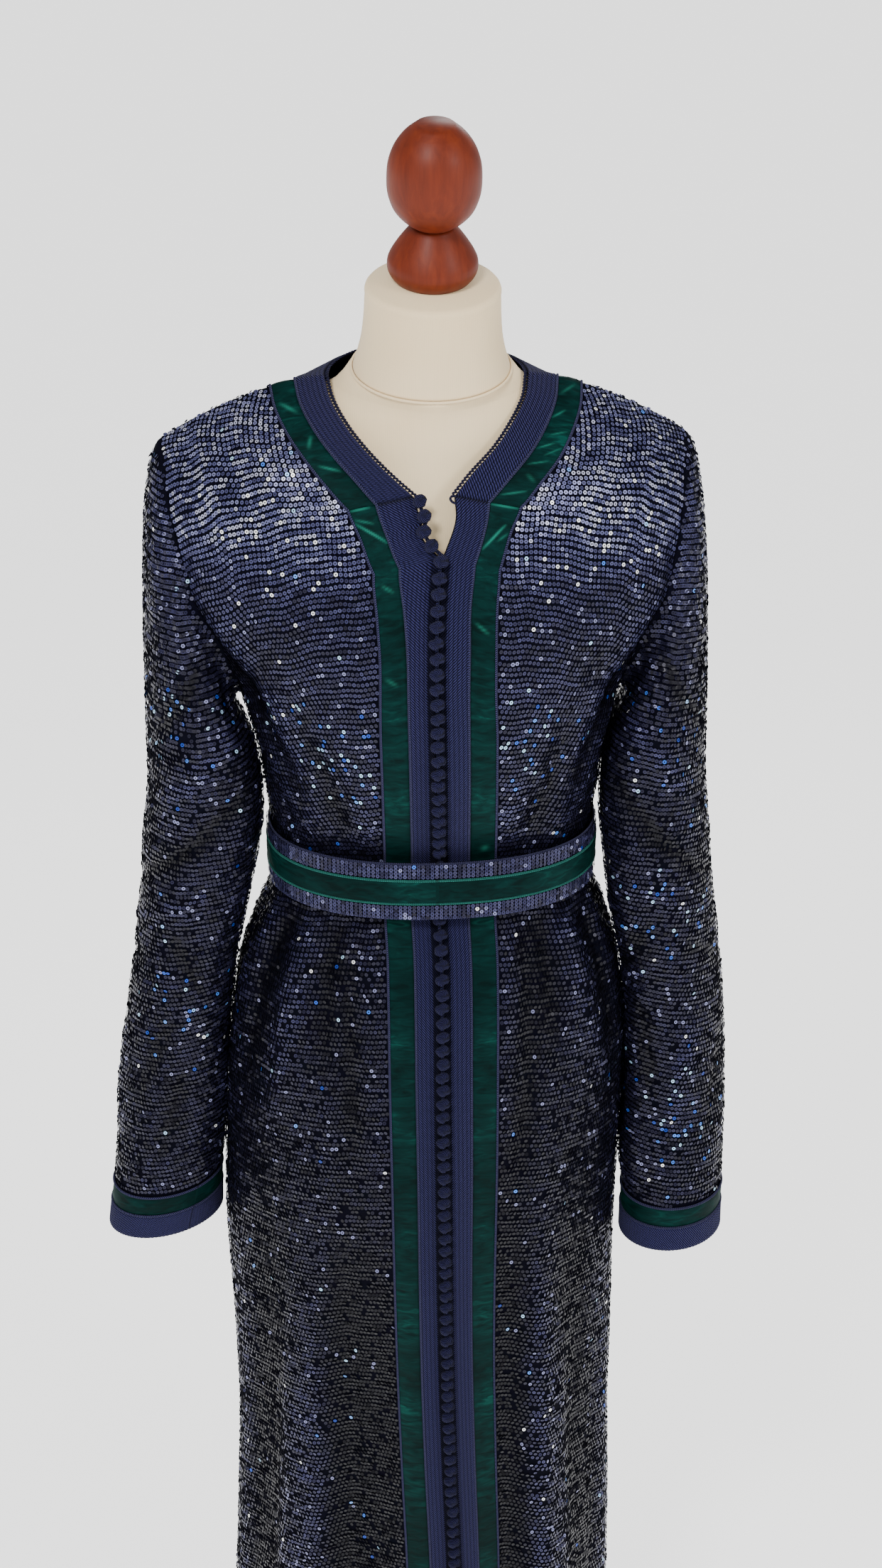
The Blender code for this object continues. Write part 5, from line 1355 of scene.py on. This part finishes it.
def sewSequins(name, place, out, ahead, row, number, paintedLightAndShade, looseness):
    # flat hexagons on the cloth: one after another in a row, each leaning on the next; a dash of
    # a few neighbours shares its lean and its tone
    count = len(place)
    table = dice.uniform(0, 1, 65536)
    lean = dice.normal(0, 1, (65536, 2))
    low, high = sequins["dash"]
    dash = low + (table[(row * 31 + 7) % 65536] * (high - low)).astype(int)
    group = (number + (table[(row * 57 + 3) % 65536] * 40).astype(int)) // dash
    key = (row * 7919 + group * 104729 + 11) % 65536
    tone = 0.40 + 0.20 * table[key] + 0.22 * dice.uniform(0, 1, count)
    # painted light and shade: the tone is scaled by the painted factor passed in
    tone = np.clip(tone * paintedLightAndShade + dice.normal(0, 0.03, count), 0.0, 0.94)
    # painted glints: white, pale and blue highlights set into the tone, gathered in loose patches, as the
    # lamps' mirror images do
    cloud = wave(place[:, 0] * 60 + place[:, 2] * 23, 3) + wave(place[:, 2] * 71 - place[:, 0] * 17, 4)
    spots = np.zeros(count)
    for x, y, z, radius, strength in sequins["paintedGlints"]:
        spots += strength * np.exp(-((place - np.array([x, y, z])) ** 2).sum(1) / radius**2)
    chance = (0.004 + 0.010 * smoothStep(0.2, 1.4, cloud) + np.clip(spots, 0, 1) * 0.045) * paintedLightAndShade**1.5
    tone = np.where(dice.uniform(0, 1, count) < 0.05 * paintedLightAndShade, 0.93, tone)
    tone[dice.uniform(0, 1, count) < chance] = 1.0
    blueGlintPatch = np.clip(-spots, 0, 1) ** 1.5 * 6.0 + 0.9 * smoothStep(0.7, 1.7, -cloud)
    blue = dice.uniform(0, 1, count) < sequins["blueGlintShare"] * (0.10 + blueGlintPatch)
    tone = np.where(blue, np.clip(0.15 + dice.uniform(0, 1, count), 0, 1), tone)
    across = np.cross(out, ahead)
    tilt = (sequins["shingle"] + sequins["groupTilt"] * looseness * lean[key, 0]
            + sequins["ownTilt"] * looseness * dice.normal(0, 1, count))
    tip = (sequins["groupTilt"] * looseness * lean[key, 1]
           + sequins["ownTilt"] * looseness * dice.normal(0, 1, count))
    tilt, tip = np.clip(tilt, -0.5, 0.5), np.clip(tip, -0.45, 0.45)
    out2 = unitRows(out + ahead * tilt[:, None] + across * tip[:, None])
    one = unitRows(ahead - (ahead * out2).sum(1, keepdims=True) * out2)
    two = np.cross(out2, one)
    turn = np.arange(6) * math.pi / 3 + 0.26
    radius = sequins["radius"]
    lift = half + sequins["lift"] + radius * 0.7 * np.sqrt(tilt**2 + tip**2)
    centre = place + out * lift[:, None]
    points = (centre[:, None] + radius * (one[:, None] * np.cos(turn)[None, :, None]
                                          + two[:, None] * np.sin(turn)[None, :, None]))
    disc = np.tile(np.stack([np.cos(turn), np.sin(turn)], 1), (count, 1))
    spark = np.repeat(np.stack([tone, np.where(blue, 1.0, 0.0)], 1), 6, axis=0)
    cells = math.ceil(math.sqrt(count))
    order = np.arange(count)
    corner = np.stack([order % cells, order // cells], 1)[:, None] + 0.5
    atlas = (corner + 0.42 * np.stack([np.cos(turn), np.sin(turn)], 1)[None]) / cells
    piece = newObject(name, points.reshape(-1, 3), np.full(count, 6), np.arange(count * 6), sequinFilm,
                      {"disc": disc, "spark": spark, "OFBake": atlas.reshape(-1, 2)}, False)
    finishPiece(piece, "sequinned_cloth")
    print(name, count)


def rowsAndNumbers(rowCount, numberCount):
    row, number = np.meshgrid(np.arange(rowCount), np.arange(numberCount), indexing="ij")
    return row.ravel(), number.ravel()


for side, label, low in sides:
    # fronts: rows start at the velvet's edge and drop a little outwards
    grid, normals = frontPanels[side]
    along = lengthsAlong(np.swapaxes(grid, 0, 1)).T
    totals = np.array([lengthsAlong(path)[-1] for path in frontRows[side][0]])
    starts = frontRows[side][1].sum(axis=1)
    row, number = rowsAndNumbers(int((along.max() + 0.05) / sequins["rowPitch"]), 92)
    v0 = row * sequins["rowPitch"] + 0.003
    d = number * sequins["alongPitch"] + (0.62 * row % 1) * sequins["alongPitch"] + 0.0018
    slope = 0.08 + 0.09 * smoothStep(0.90, 1.10, v0)
    v = v0 - slope * d + 0.0006 * wave(d * 90 + row * 1.7, 41 + side)
    i = np.interp(v, along[:, along.shape[1] // 2], np.arange(len(along)))
    for step in range(4):
        reach = np.maximum(np.interp(i, np.arange(len(totals)), totals - starts), 0.01)
        j = 3 + d / reach * (grid.shape[1] - 4)
        i, good = rowFor(along, np.clip(j, 0, grid.shape[1] - 1.001), v)
    keep = good & (j <= grid.shape[1] - 1.3) & (v > 0.002)
    place, out, ahead = frameOn(grid, normals, i[keep], j[keep])
    ahead = ahead * np.sign((ahead * (grid[60, 30] - grid[60, 20])).sum(-1, keepdims=True))
    # painted light and shade: lighter on the chest and shoulders, darker in the folds' troughs, lighter on
    # their ridges
    skirtPaintedLight, chestPaintedLight, shoulderPaintedLight = sequins["frontPaintedLight"]
    paintedLightAndShade = (skirtPaintedLight + chestPaintedLight * smoothStep(0.98, 1.24, place[:, 2])
             + shoulderPaintedLight * smoothStep(1.25, 1.33, place[:, 2])) * paintedFoldShade(foldMove(place)[0])
    loose = 1.25 - 0.65 * smoothStep(0.95, 1.15, place[:, 2])
    # a few are missing on the skirt
    use = (place[:, 2] >= 0.95) | (dice.uniform(0, 1, len(place)) >= sequins["missing"])
    sewSequins("sequinsFront" + label, place[use], out[use], ahead[use], row[keep][use], number[keep][use],
               paintedLightAndShade[use], loose[use])

    # lower back: level rows from the centre line to the side seam
    grid, normals = backPanels[side]
    grid, normals = grid[::-1], normals[::-1]
    along = lengthsAlong(np.swapaxes(grid, 0, 1)).T
    totals = lengthsAlong(grid)[:, -1]
    row, number = rowsAndNumbers(int(along.max() / sequins["rowPitch"]) + 1, 96)
    v = row * sequins["rowPitch"] + 0.003
    d = (number + 0.3 + 0.62 * row % 1) * sequins["alongPitch"]
    v = v - 0.03 * d + 0.0006 * wave(d * 80 + row * 1.3, 51 + side)
    i = np.interp(v, along[:, along.shape[1] // 2], np.arange(len(along)))
    for step in range(4):
        j = (1.0 - d / np.interp(i, np.arange(len(totals)), totals)) * (grid.shape[1] - 1)
        i, good = rowFor(along, np.clip(j, 0, grid.shape[1] - 1.001), v)
    keep = good & (j >= 0.3) & (v > 0.002)
    lowerPart = frameOn(grid, normals, i[keep], j[keep]) + (row[keep], number[keep])

    # upper back: rays from behind and above find where level rows lie on the fan
    grid, normals = yokePanels[side]
    cells = quadsOf(grid.shape[0], grid.shape[1])
    tree = BVHTree.FromPolygons(grid.reshape(-1, 3).tolist(), cells.tolist())
    down = math.radians(38.0)
    ray = Vector((0.0, -math.cos(down), -math.sin(down)))
    rise = np.array([0.0, -math.sin(down), math.cos(down)])
    origin = np.array([0.0, 0.006, 1.16]) - 0.6 * np.array(ray)

    def hitAt(x, w):
        return tree.ray_cast(Vector(origin + rise * w + np.array([x, 0, 0])), ray)
    probe = [(w, hitAt(0.10 * side, w)[0]) for w in np.arange(-0.08, 0.30, 0.002)]
    probe = [(w, np.array(spot)) for w, spot in probe if spot is not None]
    ws = np.array([w for w, spot in probe])
    away = lengthsAlong(np.array([spot for w, spot in probe]))
    found = []
    for k, length in enumerate(np.arange(0.001 - 9 * sequins["rowPitch"], away[-1], sequins["rowPitch"])):
        w = np.interp(length, away, ws) + min(length, 0.0) * (ws[1] - ws[0]) / (away[1] - away[0])
        for m in range(66):
            spot, normal, index, distance = hitAt((m + 0.5) * sequins["alongPitch"] * 0.97 * side, w)
            if index is not None and index % (grid.shape[1] - 1) >= 1:
                found.append((spot[0], spot[1], spot[2], normal[0], normal[1], normal[2], k + 400, m))
    found = np.array(found)
    place, out = found[:, :3], unitRows(found[:, 3:6])
    out = out * np.sign((out * np.array([0.0, 0.8, 0.6])).sum(1, keepdims=True))
    ahead = np.array([float(side), 0.0, 0.0]) - (out[:, :1] * side) * out
    upperPart = (place, out, unitRows(ahead), found[:, 6].astype(int), found[:, 7].astype(int))
    both = [np.concatenate([a, b]) for a, b in zip(lowerPart, upperPart)]
    count = len(both[0])
    # painted light and shade: lighter towards the upper back, darker in the folds' troughs, lighter on their
    # ridges
    paintedLightAndShade = (sequins["backPaintedLight"][0] + sequins["backPaintedLight"][1] * smoothStep(0.98, 1.24, both[0][:, 2])
             ) * paintedFoldShade(foldMove(both[0])[0])
    sewSequins("sequinsBack" + label, *both, paintedLightAndShade, np.full(count, 1.1))

    # sleeves: rows round the sleeve, counted up from the cuff
    grid, normals = sleevePanels[side]
    grid, normals = grid[::-1], normals[::-1]
    closed = np.concatenate([grid, grid[:, :1]], axis=1)
    closedNormals = np.concatenate([normals, normals[:, :1]], axis=1)
    along = lengthsAlong(np.swapaxes(closed, 0, 1)).T
    cuffTop = sleeve["braid"] + sleeve["velvet"] + 0.0035
    rowCount = int((along.max() - cuffTop) / sequins["rowPitch"])
    row, number = rowsAndNumbers(rowCount, 170)
    v = cuffTop + row * sequins["rowPitch"]
    around = np.interp(v, along[:, 0], lengthsAlong(closed)[:, -1])
    perRow = np.floor(around / sequins["alongPitch"])
    j = (number + 0.62 * row % 1) / perRow * (closed.shape[1] - 1)
    v = (v + 0.004 * np.sin(2 * math.pi * j / (closed.shape[1] - 1) + 1.0)
         + 0.0006 * wave(j * 0.4 + row * 1.7, 61))
    i, good = rowFor(along, np.clip(j, 0, closed.shape[1] - 1.001), v)
    keep = good & (number < perRow - 0.6) & (i < len(closed) - 1.4) & (v > cuffTop - 0.001)
    place, out, ahead = frameOn(closed, closedNormals, i[keep], j[keep])
    moved = sleeveMoves[side][::-1]
    moved = sampleGrid(np.concatenate([moved, moved[:, :1]], axis=1), i[keep], j[keep])[..., 0] * 1.6
    # where the cap's columns crowd together, some are left out
    columnGap = np.linalg.norm(sampleGrid(closed, i[keep], j[keep] + 0.5)
                               - sampleGrid(closed, i[keep], j[keep] - 0.5), axis=1)
    spacing = columnGap * (closed.shape[1] - 1) / perRow[keep]
    use = dice.uniform(0, 1, len(place)) < np.clip(spacing / sequins["alongPitch"], 0.3, 1.0) ** 0.7
    # painted light and shade: lighter near the shoulder, darker in the creases' troughs, lighter on their
    # ridges
    paintedLightAndShade = (sequins["sleevePaintedLight"][0] + sequins["sleevePaintedLight"][1] * smoothStep(1.20, 1.33, place[use][:, 2])
             ) * paintedFoldShade(moved[use])
    sewSequins("sequinsSleeve" + label, place[use], out[use], ahead[use], row[keep][use],
               number[keep][use], paintedLightAndShade, np.full(use.sum(), 1.3))

# belt: upright rows above and below the stripe
ringGrid, ringNormals = beltPath(np.array([0.0, 1.0]), 0.0)
aroundBelt = lengthsAlong(np.concatenate([ringGrid[0], ringGrid[0][:1]]))[-1]
columns = int(aroundBelt / sequins["beltRow"])
row, number = rowsAndNumbers(columns, 8)
stepUp = np.array(sequins["beltSteps"]) / 1000
spot = (row + 0.5) / columns * belt["sides"]
a = spot.astype(int) % belt["sides"]
b = (a + 1) % belt["sides"]
share = (spot - spot.astype(int))[:, None]
place = (1 - share) * ringGrid[0][a] + share * ringGrid[0][b]
out = unitRows((1 - share) * ringNormals[0][a] + share * ringNormals[0][b])
place = place + np.array([0, 0, 1.0]) * (belt["z"] + stepUp[number])[:, None] - out * 0.0006
ahead = np.broadcast_to(np.array([0.0, 0.0, 1.0]), place.shape)
sewSequins("sequinsBelt", place, out, ahead, row + 900, number // 4, np.full(len(place), 0.85),
           np.full(len(place), 0.7))
print("sequins ready")


# floor, light and camera
def makeFloor():
    # matt white card: nearly even, a faint mottle
    made, tree, shader = newMaterial("mattWhiteCard", 0.85)
    place = addNode(tree, "ShaderNodeTexCoord")
    mottle = addNode(tree, "ShaderNodeTexNoise", inputs={"Vector": place.outputs["Object"], "Scale": 3.0})
    ramp = addNode(tree, "ShaderNodeValToRGB", inputs={"Fac": mottle.outputs["Fac"]},
                   stops=[(0.3, "#f1f1f0"), (0.7, "#f5f5f4")])
    tree.links.new(ramp.outputs["Color"], shader.inputs["Base Color"])
    shader.inputs["Emission Color"].default_value = (1.0, 1.0, 1.0, 1.0)
    shader.inputs["Emission Strength"].default_value = 1.55
    return made


floorRadius = 48.0
turn = np.linspace(0, 2 * math.pi, 64, endpoint=False)
floorPoints = np.stack([floorRadius * np.cos(turn), floorRadius * np.sin(turn), 0 * turn - 0.0005], 1)
floor = newObject("floor", floorPoints, [64], np.arange(64), makeFloor())

world = bpy.data.worlds.new("softWhite")
world.use_nodes = True
world.node_tree.nodes["Background"].inputs["Color"].default_value = (1.0, 1.0, 1.0, 1.0)
world.node_tree.nodes["Background"].inputs["Strength"].default_value = 0.50
bpy.context.scene.world = world


def addLamp(name, size, power, place, target=(0.0, 0.0, 1.05)):
    lamp = bpy.data.lights.new(name, "AREA")
    lamp.shape, lamp.size, lamp.energy = "SQUARE", size, power
    made = bpy.data.objects.new(name, lamp)
    made.location = place
    made.rotation_euler = (Vector(target) - Vector(place)).to_track_quat("-Z", "Y").to_euler()
    bpy.context.scene.collection.objects.link(made)


addLamp("keyLamp", 0.4, 26.0, (-0.55, -1.25, 2.45), (0.0, 0.0, 1.25))
addLamp("fillLamp", 0.4, 13.0, (1.2, -1.1, 2.1), (0.0, 0.0, 1.2))
addLamp("backLamp", 0.9, 18.0, (0.6, 1.9, 2.4))

# fitted to the photo: pixels for the focal length, long side and shift; metres; degrees
view = {"focal": 2800.0, "longSide": 2208.0, "shift": 13.0, "away": 1.5, "height": 1.754,
        "aside": -3.5, "down": 24.4}
camera = bpy.data.cameras.new("camera")
camera.sensor_width = 36.0
camera.lens = view["focal"] * 36.0 / view["longSide"]
camera.shift_x = view["shift"] / view["longSide"]
cameraObject = bpy.data.objects.new("camera", camera)
side = math.radians(view["aside"])
cameraObject.location = (math.sin(side) * view["away"], -math.cos(side) * view["away"], view["height"])
cameraObject.rotation_euler = (math.radians(90.0 - view["down"]), 0.0, side)
bpy.context.scene.collection.objects.link(cameraObject)
bpy.context.scene.camera = cameraObject

bpy.context.view_layer.update()
print("scene ready")
